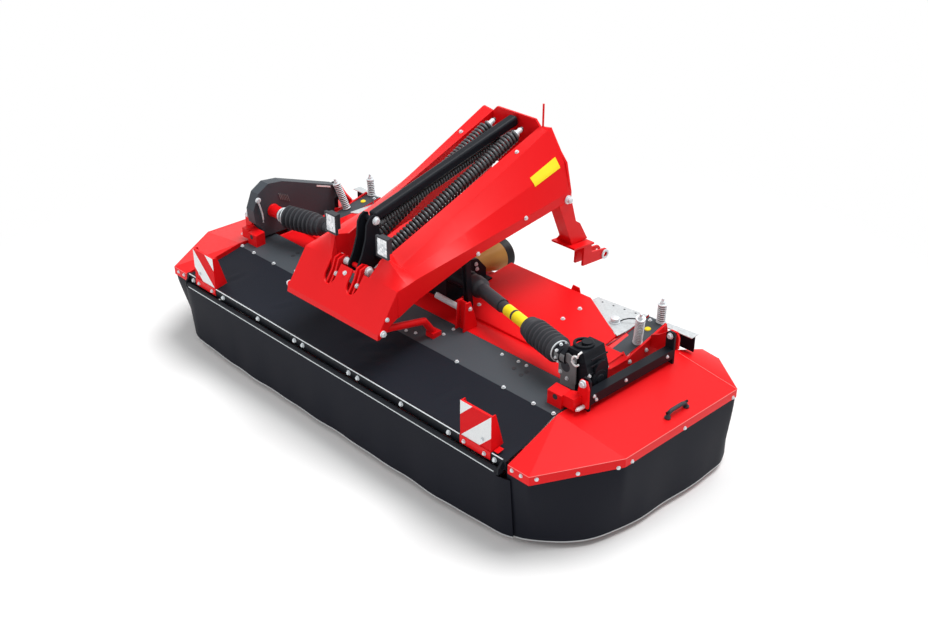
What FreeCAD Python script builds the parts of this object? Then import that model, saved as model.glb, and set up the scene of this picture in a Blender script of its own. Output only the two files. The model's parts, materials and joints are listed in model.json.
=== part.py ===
"""Front-mounted disc mower conditioner, 3 m wide, on its skids.

Frame: +X to the machine's right-hand end as seen from its front, +Y rearwards to the tractor,
+Z up, millimetres. The origin is on the floor, under the middle of the overall box.
Heights are above the floor. Every place along the machine is given as its distance behind
the front bar, and the helpers below turn it into the frame's Y.
"""
import FreeCAD, Part

import math
import os

import Sketcher

DOCUMENT = FreeCAD.newDocument("mower_conditioner")
RIGHT, LEFT = 1, -1
SIDES = ((RIGHT, "right"), (LEFT, "left"))

# name, millimetres (angles in degrees, counts plain), what it is
SIZE_TABLE = (
    ("front_line", -738.5, "Y of the front bar's face in the frame"),
    # end covers and curtains
    ("cover_edge", 1500.0, "half width over the end covers"),
    ("cover_inner", 1150.0, "X of the covers' inner edge"),
    ("cover_front_inner", 1178.0, "X of the covers' front inner corner"),
    ("cover_front_outer", 1296.0, "X of the covers' front outer corner"),
    ("cover_side_start", 346.0, "where the straight outer edge starts"),
    ("cover_side_end", 1104.0, "where the straight outer edge ends"),
    ("cover_inner_start", 325.0, "where the straight inner edge starts"),
    ("cover_inner_end", 1085.0, "where the straight inner edge ends"),
    ("cover_rear_outer", 1262.0, "X of the covers' rear outer corner"),
    ("cover_rear_inner", 1160.0, "X of the covers' rear inner corner"),
    ("cover_rear", 1315.0, "the covers' rear edge"),
    ("cover_low", 405.0, "cover height at the front and rear edges"),
    ("cover_side_height", 430.0, "cover height at the outer edge"),
    ("cover_high", 488.0, "cover height at the inner edge"),
    ("cover_lip", 42.0, "depth of the covers' folded lip"),
    ("sheet_gauge", 4.0, "sheet thickness of covers and hood"),
    ("curtain_gauge", 6.0, "thickness of the rubber curtains"),
    ("curtain_bottom", 28.0, "curtain hem above the floor"),
    ("curtain_lap", 30.0, "how far a curtain laps up inside its lip"),
    ("curtain_taper", 16.0, "how far the hem stands in from the lip"),
    ("hinge_across", 1195.0, "X of the covers' hinge lines"),
    ("hinge_height", 610.0, "height of the covers' hinge lines"),
    ("hinge_pin", 10.0, "hinge pin radius"),
    ("pin_clearance", 0.05, "radial running clearance of pins"),
    ("upright_place", 421.0, "front face of the front hinge upright"),
    ("plate_gauge", 12.0, "plate thickness of brackets"),
    ("rail_start", 450.0, "front end of the covers' carrier rail"),
    ("rail_end", 1002.0, "rear end of the covers' carrier rail"),
    ("rail_half", 23.0, "half width of the carrier rail"),
    ("rail_top", 551.0, "top of the carrier rail"),
    # front bar, flap and fabric
    ("bar_overhang", 15.0, "the front bar beyond the flap's end lugs at each end"),
    ("bar_top", 415.0, "top of the front bar"),
    ("bar_bottom", 372.0, "bottom of the front bar's band"),
    ("fabric_gap", 14.0, "gap between the fabric top and the covers' straight inner edges"),
    ("bar_depth", 14.0, "depth of the front bar"),
    ("flap_place", -16.0, "the flap tube's axis"),
    ("flap_height", 366.0, "height of the flap tube's axis"),
    ("flap_tube", 11.0, "flap tube radius"),
    ("flap_half", 1140.0, "half length of the flap tube"),
    ("lug_gauge", 10.0, "thickness of the flap's end lugs"),
    ("deck_front", 319.0, "front edge of the deck plate"),
    ("deck_front_height", 476.0, "deck plate height at its front edge"),
    ("deck_rear", 529.0, "rear edge of the deck plate"),
    ("deck_rear_height", 495.0, "deck plate height at its rear edge"),
    ("deck_half", 1136.0, "half width of the deck plate"),
    ("deck_gauge", 6.0, "deck plate thickness"),
    ("fabric_gauge", 8.0, "thickness of the fabric top"),
    # cutterbar
    ("disc_count", 7.0, "cutting discs"),
    ("disc_pitch", 385.0, "distance between disc centres"),
    ("disc_place", 305.0, "line of the disc centres"),
    ("disc_long", 165.0, "disc radius along its long axis"),
    ("disc_wide", 115.0, "half width across the oval disc"),
    ("knife_reach", 225.0, "radius swept by the knives"),
    ("knife_width", 48.0, "knife width"),
    ("knife_gauge", 4.0, "knife thickness"),
    ("disc_bottom", 62.0, "underside of the discs"),
    ("disc_gauge", 22.0, "thickness of the discs"),
    ("gearbar_front", 215.0, "front edge of the cutterbar"),
    ("gearbar_rear", 396.0, "rear edge of the cutterbar"),
    ("gearbar_bottom", 20.0, "underside of the cutterbar"),
    ("gearbar_top", 52.0, "top of the cutterbar"),
    ("gearbar_overhang", 150.0, "cutterbar beyond the end disc centres"),
    ("hub_radius", 55.0, "radius of the disc hubs"),
    ("running_gap", 0.5, "gap between a hub and its disc"),
    ("skid_half", 150.0, "half width of a skid"),
    ("skid_rear", 560.0, "rear end of the skids"),
    ("runner_rear", 1000.0, "rear end of the side runners"),
    # frame and conditioner
    ("frame_across", 1062.0, "X of the side frames' inner faces"),
    ("beam_rear", 650.0, "rear face of the main beam"),
    ("beam_bottom", 430.0, "underside of the main beam"),
    ("rotor_place", 830.0, "the conditioner rotor's axis"),
    ("rotor_height", 285.0, "height of the rotor's axis"),
    ("rotor_tube", 75.0, "rotor tube radius"),
    ("rotor_reach", 200.0, "radius over the tines"),
    ("rotor_half", 1045.0, "half length of the rotor tube"),
    ("tine_columns", 12.0, "tine places along the rotor"),
    ("tine_rows", 4.0, "tines round the rotor"),
    ("tine_width", 34.0, "tine width"),
    ("tine_gauge", 8.0, "tine thickness"),
    ("axle_radius", 25.0, "rotor axle radius"),
    ("hood_rear", 1100.0, "rear edge of the hood"),
    ("hood_rear_height", 560.0, "hood height at its rear edge"),
    ("hood_rear_half", 650.0, "half width of the hood at its rear edge"),
    ("hood_shoulder", 930.0, "where the hood's corners are cut off"),
    ("hood_half", 950.0, "half width of the hood"),
    ("hood_drop", 90.0, "depth of the hood's rear apron"),
    ("console_inner", 962.0, "X of the console's inner side"),
    ("console_front", 850.0, "front of the console plate"),
    ("console_rear", 1150.0, "rear of the console plate"),
    ("console_low", 504.0, "console plate height at its front"),
    ("console_high", 563.0, "console plate height at its rear"),
    # swath boards
    ("swath_height", 545.0, "top of the galvanised corner plates"),
    ("swath_rear", 1205.0, "rear edge of the galvanised corner plates"),
    ("swath_outer", 1205.0, "X of the corner plates' outer end"),
    ("tunnel_half", 125.0, "half width of the input shaft's tunnel through the hood"),
    ("tunnel_floor", 461.0, "floor of that tunnel"),
    ("vane_top", 480.0, "upper edge of the swath vanes"),
    ("vane_across", 1010.0, "X of the swath boards' pivots"),
    ("vane_place", 1090.0, "the swath boards' pivots"),
    ("vane_length", 265.0, "length of a swath board"),
    ("vane_angle", 23.0, "how far a swath board leans inwards"),
    ("vane_bottom", 140.0, "swath board's lower edge"),
    ("vane_pin", 8.0, "swath board pivot pin radius"),
    # carrier
    ("nose_half", 330.0, "half width of the nose"),
    ("nose_place", 49.0, "the nose's lower edge"),
    ("nose_height", 631.0, "height of the nose's lower edge"),
    ("brow_place", 168.0, "where the arms start"),
    ("brow_height", 804.0, "height where the arms start"),
    ("nose_gauge", 8.0, "nose sheet thickness"),
    ("slot_left", -100.0, "X of the left slot in the nose"),
    ("slot_right", 60.0, "X of the right slot in the nose"),
    ("slot_radius", 38.0, "radius of the slots' round ends"),
    ("slot_height", 749.0, "height of the slots' round ends"),
    ("shaft_place", 212.0, "the rocker's lower pivot"),
    ("shaft_height", 798.0, "height of the rocker's lower pivot"),
    ("arm_rear", 1235.0, "rear end of the arms"),
    ("arm_top", 1255.0, "top of the arms at the rear"),
    ("arm_outer", 372.0, "X of the arms' outer face at the rear"),
    ("arm_bottom", 935.0, "underside of the arms at the rear"),
    ("leg_inner", 300.0, "X of the legs' inner face"),
    ("foot_plate", 692.0, "top of the legs' foot plates"),
    ("foot_place", 1479.0, "the lower link pins"),
    ("foot_height", 583.0, "height of the lower link pins"),
    ("foot_across", 381.0, "X of the middle of the lower link forks"),
    ("link_bore", 14.25, "lower link pin radius"),
    ("top_pin_bore", 12.75, "top link pin bore radius"),
    ("top_pin_place", 1300.0, "the top link pin"),
    ("top_pin_height", 1190.0, "height of the top link pin"),
    ("top_fork_gap", 26.0, "half gap between the top link ears"),
    # drive
    ("input_height", 550.0, "height of the input shaft"),
    ("journal_radius", 24.0, "input shaft radius inside the gearbox"),
    ("input_radius", 17.45, "input shaft radius"),
    ("input_end", 1150.0, "free end of the input shaft"),
    ("gearbox_rear", 930.0, "rear face of the middle gearbox"),
    ("joint_across", 280.0, "X of the drive shafts' inner joints"),
    ("joint_place", 705.0, "the drive shafts' inner joints"),
    ("joint_height", 632.0, "height of the drive shafts' inner joints"),
    ("bevel_across", 1003.0, "X of the drive shafts' outer ends"),
    ("bevel_place", 515.0, "the drive shafts' outer ends"),
    ("bevel_height", 640.0, "height of the drive shafts' outer ends"),
    ("bellows_radius", 62.0, "outer radius of the bellows"),
    ("shaft_radius", 27.0, "radius of the shaft guard tube"),
    # springs
    ("coil_radius", 22.0, "outer radius of the float springs"),
    ("coil_wire", 7.0, "spring wire thickness"),
    ("coil_low_place", 330.0, "lower end of the float springs"),
    ("coil_low_height", 848.0, "height of the springs' lower ends"),
    ("coil_high_place", 1130.0, "upper end of the float springs"),
    ("coil_high_height", 1217.0, "height of the springs' upper ends"),
    ("rocker_place", 300.0, "top pivot of the rocker"),
    ("rocker_height", 1008.0, "height of the rocker's top pivot"),
    ("strut_half", 25.0, "half width of the middle strut"),
)

OPERATIONS = {"+": lambda a, b: a + b, "-": lambda a, b: a - b,
              "*": lambda a, b: a * b, "/": lambda a, b: a / b}


class Size:
    """A number of the model, kept together with its spreadsheet expression."""

    def __init__(self, text, value):
        self.text = text
        self.value = value

    def combine(self, sign, other, swapped=False):
        other = as_size(other)
        first, second = (other, self) if swapped else (self, other)
        result = OPERATIONS[sign](first.value, second.value)
        return Size(f"({first.text} {sign} {second.text})", result)

    def __add__(self, other):
        return self.combine("+", other)

    def __radd__(self, other):
        return self.combine("+", other, swapped=True)

    def __sub__(self, other):
        return self.combine("-", other)

    def __rsub__(self, other):
        return self.combine("-", other, swapped=True)

    def __mul__(self, other):
        return self.combine("*", other)

    def __rmul__(self, other):
        return self.combine("*", other, swapped=True)

    def __truediv__(self, other):
        return self.combine("/", other)

    def __neg__(self):
        return self.combine("*", -1)


def as_size(number):
    return number if isinstance(number, Size) else Size(f"({float(number)})", float(number))


class Sizes:
    """The driving dimensions: one spreadsheet row and one attribute each."""

    def __init__(self, document, table):
        sheet = document.addObject("Spreadsheet::Sheet", "Sizes")
        for row, (name, number, meaning) in enumerate(table, start=1):
            sheet.set(f"A{row}", name)
            sheet.set(f"B{row}", str(number))
            sheet.set(f"C{row}", meaning)
            sheet.setAlias(f"B{row}", name)
            setattr(self, name, Size(f"Sizes.{name}", number))
        document.recompute()


S = Sizes(DOCUMENT, SIZE_TABLE)
NODES = {}


def publish(node, shape_object):
    """Names a finished sub-part: its Label is the name of the file it is written to."""
    shape_object.Label = node
    NODES[node] = shape_object
    return shape_object


def bind(target, path, number):
    target.setExpression(path, as_size(number).text)


def place_y(distance):
    """The frame's Y of a place given as its distance behind the front bar."""
    return S.front_line + distance


def point(across, place, height):
    """A point in the frame as a vector."""
    return FreeCAD.Vector(as_size(across).value, place_y(place).value, as_size(height).value)


def origin_plane(body, plane):
    role = {"XY": "XY_Plane", "XZ": "XZ_Plane", "YZ": "YZ_Plane"}[plane]
    return [item for item in body.Origin.OriginFeatures if item.Role == role][0]


def pin_point(sketch, geometry, vertex, across, up):
    """Holds one sketch point by its two distances from the sketch's origin."""
    for kind, number in (("DistanceX", across), ("DistanceY", up)):
        held = Sketcher.Constraint(kind, -1, 1, geometry, vertex, as_size(number).value)
        index = sketch.addConstraint(held)
        bind(sketch, f"Constraints[{index}]", number)


def draw_loop(sketch, corners):
    start = sketch.GeometryCount
    count = len(corners)
    spots = [FreeCAD.Vector(as_size(a).value, as_size(b).value, 0) for a, b in corners]
    for index in range(count):
        edge = Part.LineSegment(spots[index], spots[(index + 1) % count])
        sketch.addGeometry(edge, False)
    for index in range(count):
        following = start + (index + 1) % count
        sketch.addConstraint(Sketcher.Constraint("Coincident", start + index, 2, following, 1))
    for index, (a, b) in enumerate(corners):
        pin_point(sketch, start + index, 1, a, b)


def draw_circle(sketch, centre, radius):
    spot = FreeCAD.Vector(as_size(centre[0]).value, as_size(centre[1]).value, 0)
    circle = Part.Circle(spot, FreeCAD.Vector(0, 0, 1), as_size(radius).value)
    index = sketch.addGeometry(circle, False)
    pin_point(sketch, index, 3, *centre)
    held = sketch.addConstraint(Sketcher.Constraint("Radius", index, as_size(radius).value))
    bind(sketch, f"Constraints[{held}]", radius)


def new_sketch(body, plane, offset, loops):
    """A sketch on one of the body's origin planes. Loops are lists of corners, or (centre, radius).

    On XY and YZ the offset is the Z or X of the sketch, and on XZ it is its place.
    """
    sketch = body.newObject("Sketcher::SketchObject", "Profile")
    sketch.AttachmentSupport = [(origin_plane(body, plane), "")]
    sketch.MapMode = "FlatFace"
    along = -place_y(offset) if plane == "XZ" else offset
    bind(sketch, ".AttachmentOffset.Base.z", along)
    for loop in loops:
        if isinstance(loop, tuple):
            centre, radius = loop
            draw_circle(sketch, local(plane, centre), radius)
        else:
            draw_loop(sketch, [local(plane, corner) for corner in loop])
    return sketch


def local(plane, corner):
    """Sketch coordinates of a corner given as (across, place), (across, height) or (place, height)."""
    first, second = corner
    if plane == "XY":
        return first, place_y(second)
    if plane == "YZ":
        return place_y(first), second
    return first, second


def pad(name, plane, low, high, *loops):
    """A flat piece: loops drawn on a plane and padded from low to high across it."""
    low, high = sorted((as_size(low), as_size(high)), key=lambda item: item.value)
    body = DOCUMENT.addObject("PartDesign::Body", name)
    sketch = new_sketch(body, plane, high if plane == "XZ" else low, loops)
    feature = body.newObject("PartDesign::Pad", "Pad")
    feature.Profile = sketch
    bind(feature, "Length", high - low)
    return body


def loft(name, plane, sections):
    """A ruled body through closed sections, each (offset, corners)."""
    body = DOCUMENT.addObject("PartDesign::Body", name)
    sketches = [new_sketch(body, plane, offset, [corners]) for offset, corners in sections]
    feature = body.newObject("PartDesign::AdditiveLoft", "Loft")
    feature.Profile = sketches[0]
    feature.Sections = sketches[1:]
    feature.Ruled = True
    return body


def turned(name, start, end, profile):
    """A turned piece on the line from start to end. Profile: (distance along, radius) corners."""
    body = DOCUMENT.addObject("PartDesign::Body", name)
    sketch = body.newObject("Sketcher::SketchObject", "Profile")
    sketch.AttachmentSupport = [(origin_plane(body, "XZ"), "")]
    sketch.MapMode = "FlatFace"
    draw_loop(sketch, [(radius, distance) for distance, radius in profile])
    feature = body.newObject("PartDesign::Revolution", "Revolution")
    feature.Profile = sketch
    feature.ReferenceAxis = (sketch, ["V_Axis"])
    feature.Angle = 360.0
    turn = FreeCAD.Rotation(FreeCAD.Vector(0, 0, 1), end - start)
    body.Placement = FreeCAD.Placement(start, turn)
    return body


def bound_base(target, across, place, height):
    bind(target, ".Placement.Base.x", across)
    bind(target, ".Placement.Base.y", place_y(place))
    bind(target, ".Placement.Base.z", height)


def block(name, across, place, height):
    """A box from three (low, high) pairs."""
    box = DOCUMENT.addObject("Part::Box", name)
    pairs = [sorted((as_size(a), as_size(b)), key=lambda item: item.value)
             for a, b in (across, place, height)]
    for side, (low, high) in zip(("Length", "Width", "Height"), pairs):
        bind(box, side, high - low)
    bound_base(box, *[low for low, high in pairs])
    return box


AXIS_TURNS = {"X": FreeCAD.Rotation(FreeCAD.Vector(0, 1, 0), 90),
              "Y": FreeCAD.Rotation(FreeCAD.Vector(1, 0, 0), -90),
              "Z": FreeCAD.Rotation()}


def rod(name, axis, across, place, height, length, radius):
    """A cylinder along +X, +Y or +Z from its start point."""
    cylinder = DOCUMENT.addObject("Part::Cylinder", name)
    cylinder.Placement = FreeCAD.Placement(FreeCAD.Vector(), AXIS_TURNS[axis])
    bound_base(cylinder, across, place, height)
    bind(cylinder, "Radius", radius)
    bind(cylinder, "Height", length)
    return cylinder


def slant_rod(name, start, end, radius):
    """A cylinder between two points of the frame."""
    cylinder = DOCUMENT.addObject("Part::Cylinder", name)
    bind(cylinder, "Radius", radius)
    cylinder.Height = (end - start).Length
    turn = FreeCAD.Rotation(FreeCAD.Vector(0, 0, 1), end - start)
    cylinder.Placement = FreeCAD.Placement(start, turn)
    return cylinder


def ball(name, centre, radius):
    sphere = DOCUMENT.addObject("Part::Sphere", name)
    bind(sphere, "Radius", radius)
    sphere.Placement.Base = centre
    return sphere


def slant_bar(name, start, end, half_across, half_deep):
    """A square bar between two points in one YZ plane."""
    bar = DOCUMENT.addObject("Part::Box", name)
    length = (end - start).Length
    bind(bar, "Length", half_across * 2)
    bind(bar, "Width", half_deep * 2)
    bar.Height = length
    turn = FreeCAD.Rotation(FreeCAD.Vector(0, 0, 1), end - start)
    corner = turn.multVec(FreeCAD.Vector(-as_size(half_across).value, -as_size(half_deep).value, 0))
    bar.Placement = FreeCAD.Placement(start + corner, turn)
    return bar


def fuse(name, *pieces):
    joined = DOCUMENT.addObject("Part::MultiFuse", name)
    joined.Shapes = list(pieces)
    return joined


def group(name, *pieces):
    """Like pieces that don't touch, kept as separate solids of one sub-part."""
    together = DOCUMENT.addObject("Part::Compound", name)
    together.Links = list(pieces)
    return together


def cut(name, base, *tools):
    result = base
    for index, tool in enumerate(tools):
        step = DOCUMENT.addObject("Part::Cut", f"{name}_{index}")
        step.Base = result
        step.Tool = tool
        result = step
    return result


def solid_from_faces(name, faces):
    """A closed solid from flat faces given by their corner points."""
    made = []
    for corners in faces:
        made.append(Part.Face(Part.makePolygon(list(corners) + [corners[0]])))
    shell = Part.makeShell(made)
    solid = Part.makeSolid(shell)
    if solid.Volume < 0:
        solid.reverse()
    feature = DOCUMENT.addObject("Part::Feature", name)
    feature.Shape = solid
    return feature


def between(low, high, share):
    return low + (high - low) * share


def deck_height(place):
    """Height of the deck plate's upper face at a place along the machine."""
    rise = (S.deck_rear_height - S.deck_front_height) / (S.deck_rear - S.deck_front)
    return S.deck_front_height + rise * (place - S.deck_front)


# ---------------------------------------------------------------- outlines worked out in numbers

def inset(outline, distance, closed=True):
    """An outline moved to its left-hand side by a distance, with mitred corners."""
    count = len(outline)
    moved = []
    for index in range(count):
        here = outline[index]
        before = outline[index - 1] if closed or index > 0 else None
        after = outline[(index + 1) % count] if closed or index < count - 1 else None
        normals = []
        for start, end in ((before, here), (here, after)):
            if start is None or end is None:
                continue
            length = math.hypot(end[0] - start[0], end[1] - start[1])
            normals.append((-(end[1] - start[1]) / length, (end[0] - start[0]) / length))
        first, last = normals[0], normals[-1]
        share = distance / (1.0 + first[0] * last[0] + first[1] * last[1])
        moved.append((here[0] + (first[0] + last[0]) * share, here[1] + (first[1] + last[1]) * share))
    return moved


def cover_corners():
    """The right cover's corners: across, place, height, anticlockwise from the front inner one."""
    v = {name: getattr(S, name).value for name, number, meaning in SIZE_TABLE}
    return ((v["cover_front_inner"], 0.0, v["cover_low"]),
            (v["cover_front_outer"], 0.0, v["cover_low"]),
            (v["cover_edge"], v["cover_side_start"], v["cover_side_height"]),
            (v["cover_edge"], v["cover_side_end"], v["cover_side_height"]),
            (v["cover_rear_outer"], v["cover_rear"] - 15.0, v["cover_low"]),
            (v["cover_rear_inner"], v["cover_rear"], v["cover_low"]),
            (v["cover_inner"], v["cover_inner_end"], v["cover_high"]),
            (v["cover_inner"], v["cover_inner_start"], v["cover_high"]))


def cover_block(name, side, shrink, top_drop, bottom_drop):
    """A block with the cover's outline and facets, between two depths below its top."""
    corners = cover_corners()
    plan = inset([(across, place) for across, place, height in corners], shrink)
    levels = []
    for drop in (top_drop, bottom_drop):
        levels.append([point(side * across, place, corner[2] - drop)
                       for (across, place), corner in zip(plan, corners)])
    upper, lower = levels
    faces = []
    for facet in ((0, 1, 7), (1, 2, 7), (2, 3, 6), (2, 6, 7), (3, 4, 6), (4, 5, 6)):
        faces.append([upper[index] for index in facet])
        faces.append([lower[index] for index in reversed(facet)])
    count = len(corners)
    for index in range(count):
        after = (index + 1) % count
        faces.append([upper[index], lower[index], lower[after]])
        faces.append([upper[index], lower[after], upper[after]])
    return solid_from_faces(name, faces)


def curtain_wall(name, side, path, levels, thickness):
    """A hanging wall along a path in plan. Levels: (drop below each path point or None, height, inset)."""
    rings = []
    for heights, shift in levels:
        outer = inset(path, shift, closed=False)
        inner = inset(path, shift + thickness, closed=False)
        rings.append([[point(side * a, p, z) for (a, p), z in zip(line, heights)]
                      for line in (outer, inner)])
    faces = []
    count = len(path)
    for upper, lower in zip(rings, rings[1:]):
        for line in (0, 1):
            for index in range(count - 1):
                a, b = upper[line][index], upper[line][index + 1]
                c, d = lower[line][index + 1], lower[line][index]
                faces.extend(([a, b, c], [a, c, d]))
        for index in (0, count - 1):
            a, b = upper[0][index], upper[1][index]
            c, d = lower[1][index], lower[0][index]
            faces.extend(([a, b, c], [a, c, d]))
    for ring in (rings[0], rings[-1]):
        for index in range(count - 1):
            a, b = ring[0][index], ring[0][index + 1]
            c, d = ring[1][index + 1], ring[1][index]
            faces.extend(([a, b, c], [a, c, d]))
    return solid_from_faces(name, faces)


def ribbed(name, start, end, outer, inner, ribs):
    """A turned body with evenly spaced ribs, such as bellows or a coil spring's outer shape."""
    length = (end - start).Length
    step = length / ribs
    profile = [(0.0, 0.0)]
    for index in range(ribs):
        profile.append((inner, index * step))
        profile.append((outer, (index + 0.3) * step))
        profile.append((outer, (index + 0.7) * step))
    profile.append((inner, length))
    profile.append((0.0, length))
    corners = [FreeCAD.Vector(radius, 0, along) for radius, along in profile]
    face = Part.Face(Part.makePolygon(corners + [corners[0]]))
    feature = DOCUMENT.addObject("Part::Feature", name)
    feature.Shape = face.revolve(FreeCAD.Vector(), FreeCAD.Vector(0, 0, 1), 360)
    turn = FreeCAD.Rotation(FreeCAD.Vector(0, 0, 1), end - start)
    feature.Placement = FreeCAD.Placement(start, turn)
    return feature


# ---------------------------------------------------------------- cutterbar, discs and skids

def disc_centres():
    middle = (S.disc_count.value - 1) / 2
    return [S.disc_pitch * (index - middle) for index in range(int(S.disc_count.value))]


def make_cutterbar():
    half = S.disc_pitch * ((S.disc_count.value - 1) / 2) + S.gearbar_overhang
    bar = pad("GearBar", "YZ", -half, half,
              [(S.gearbar_front + 30, S.gearbar_bottom), (S.gearbar_rear, S.gearbar_bottom),
               (S.gearbar_rear, S.gearbar_top), (S.gearbar_front + 30, S.gearbar_top),
               (S.gearbar_front, S.gearbar_top - 14), (S.gearbar_front, S.gearbar_bottom + 10)])
    hubs = [rod("Hub", "Z", across, S.disc_place, S.gearbar_top - 1,
                S.disc_bottom - S.running_gap - S.gearbar_top + 1, S.hub_radius)
            for across in disc_centres()]
    publish("cutterbar", fuse("Cutterbar", bar, *hubs))


def make_discs():
    """Oval discs with two knives each, neighbours a quarter turn apart."""
    for number, across in enumerate(disc_centres(), start=1):
        lengthwise = number % 2 == 1
        half_x, half_y = (S.disc_long, S.disc_wide) if lengthwise else (S.disc_wide, S.disc_long)
        plate = rod("Plate", "Z", across, S.disc_place, S.disc_bottom, S.disc_gauge, S.disc_long)
        oval = block("Oval", (across - half_x, across + half_x),
                     (S.disc_place - half_y, S.disc_place + half_y),
                     (S.disc_bottom, S.disc_bottom + S.disc_gauge))
        body = DOCUMENT.addObject("Part::Common", "Body")
        body.Base = plate
        body.Tool = oval
        dome = DOCUMENT.addObject("Part::Cone", "Dome")
        bind(dome, "Radius1", S.disc_wide - 30)
        bind(dome, "Radius2", S.hub_radius - 10)
        bind(dome, "Height", S.disc_gauge)
        bound_base(dome, across, S.disc_place, S.disc_bottom + S.disc_gauge)
        knives = []
        for direction in (-1, 1):
            near = direction * (S.disc_wide + 5)
            far = direction * S.knife_reach
            low = S.disc_bottom - S.knife_gauge
            half = S.knife_width / 2
            if lengthwise:
                spread = ((across + near, across + far), (S.disc_place - half, S.disc_place + half))
            else:
                spread = ((across - half, across + half), (S.disc_place + near, S.disc_place + far))
            knives.append(block("Knife", *spread, (low, S.disc_bottom)))
        publish(f"disc_{number}", fuse("Disc", body, dome, *knives))


def make_skids():
    """A shoe under each disc and a long runner under each side frame."""
    shoes = []
    for across in disc_centres():
        shoes.append(pad("Shoe", "YZ", across - S.skid_half, across + S.skid_half,
                         [(S.gearbar_front - 25, 34), (S.gearbar_front + 15, 0), (S.skid_rear, 0),
                          (S.skid_rear, 8), (S.gearbar_rear, S.gearbar_bottom - 6),
                          (S.gearbar_rear, S.gearbar_bottom), (S.gearbar_front, S.gearbar_bottom),
                          (S.gearbar_front - 10, 42)]))
    for side, word in SIDES:
        inner = side * (S.frame_across - 12)
        outer = side * (S.frame_across + S.plate_gauge + 12)
        shoes.append(pad("Runner", "YZ", inner, outer,
                         [(S.skid_rear + 10, 0), (S.runner_rear - 30, 0), (S.runner_rear, 20),
                          (S.runner_rear, 34), (S.runner_rear - 40, 14), (S.skid_rear + 10, 14)]))
    publish("skids", group("Skids", *shoes))


# ---------------------------------------------------------------- frame, deck and hood

def make_side_frames():
    for side, word in SIDES:
        inner = side * S.frame_across
        outer = side * (S.frame_across + S.plate_gauge)
        centre = (S.rotor_place, S.rotor_height)
        plate = pad("SidePlate", "YZ", inner, outer,
                    [(S.gearbar_rear, 14.0), (S.gearbar_rear, S.gearbar_top), (S.skid_rear, S.gearbar_top),
                     (S.skid_rear + 30, 200), (S.deck_rear + 20, S.beam_bottom - 20),
                     (S.deck_rear - 150, S.beam_bottom - 10),
                     (S.deck_rear - 150, deck_height(S.deck_rear - 150) - S.deck_gauge),
                     (S.deck_rear, S.deck_rear_height - S.deck_gauge), (S.deck_rear, S.deck_rear_height),
                     (S.console_front + 30, S.console_low), (S.console_rear - 10, S.console_high + 10),
                     (S.console_rear + 44, 371), (S.console_rear, 200), (S.runner_rear, 60),
                     (S.runner_rear - 40, 14.0)],
                    (centre, S.axle_radius + S.pin_clearance))
        publish(f"side_frame_{word}", plate)


def make_main_beam():
    beam = block("Beam", (-S.frame_across, S.frame_across), (S.deck_rear, S.beam_rear),
                 (S.beam_bottom, S.deck_rear_height))
    publish("main_beam", beam)


def make_deck():
    top_front, top_rear = S.deck_front_height, S.deck_rear_height
    sheet = pad("DeckSheet", "YZ", -S.deck_half, S.deck_half,
                [(S.deck_front, top_front), (S.deck_rear, top_rear),
                 (S.deck_rear, top_rear - S.deck_gauge), (S.deck_front, top_front - S.deck_gauge)])
    publish("deck_plate", sheet)


def bar_half():
    """Half length of the front bar, which carries the flap's end lugs."""
    return S.flap_half + 3 + S.lug_gauge + S.bar_overhang


def make_front_frame():
    """The front bar with its support arms, the flap's end lugs and the row of the warning boards."""
    half = bar_half()
    bar = block("Bar", (-half, half), (0, S.bar_depth), (S.bar_bottom, S.bar_top))
    arms = []
    for across in (-850, -290, 290, 850):
        arms.append(pad("Arm", "YZ", across - 20, across + 20,
                        [(S.bar_depth - 1, S.bar_bottom + 2), (S.deck_rear, S.beam_bottom),
                         (S.deck_rear, S.deck_rear_height - S.deck_gauge),
                         (S.deck_front, S.deck_front_height - S.deck_gauge),
                         (S.deck_front, S.deck_front_height - S.deck_gauge - 10),
                         (S.bar_depth - 1, S.bar_top - S.fabric_gauge - 12)]))
    lugs = []
    for side, word in SIDES:
        inner = side * (S.flap_half + 3)
        outer = side * (S.flap_half + 3 + S.lug_gauge)
        lugs.append(pad("Lug", "YZ", inner, outer,
                        [(1, S.flap_height - 12), (1, S.bar_top - 5), (S.flap_place - 12, S.flap_height + 12),
                         (S.flap_place - 12, S.flap_height - 12)]))
        start = inner if side == LEFT else inner - 23
        lugs.append(rod("LugPin", "X", start, S.flap_place, S.flap_height, 23, 6.0))
    publish("front_frame", fuse("FrontFrame", bar, *arms, *lugs))


def make_fabric_top():
    """The soft top between the front bar and the deck plate, as a plain closed solid."""
    half, rear_half = bar_half() - 4, S.cover_inner - S.fabric_gap
    front = [(-half, S.bar_top - S.fabric_gauge - 4), (half, S.bar_top - S.fabric_gauge - 4),
             (half, S.bar_top - 4), (-half, S.bar_top - 4)]
    rear = [(-rear_half, S.deck_front_height - S.fabric_gauge),
            (rear_half, S.deck_front_height - S.fabric_gauge),
            (rear_half, S.deck_front_height), (-rear_half, S.deck_front_height)]
    publish("fabric_top", loft("FabricTop", "XZ", ((S.bar_depth, front), (S.deck_front, rear))))


def hood_height(place):
    rise = (S.hood_rear_height - S.deck_rear_height - 11) / (S.hood_rear - S.beam_rear)
    return S.deck_rear_height + 11 + rise * (place - S.beam_rear)


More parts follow.
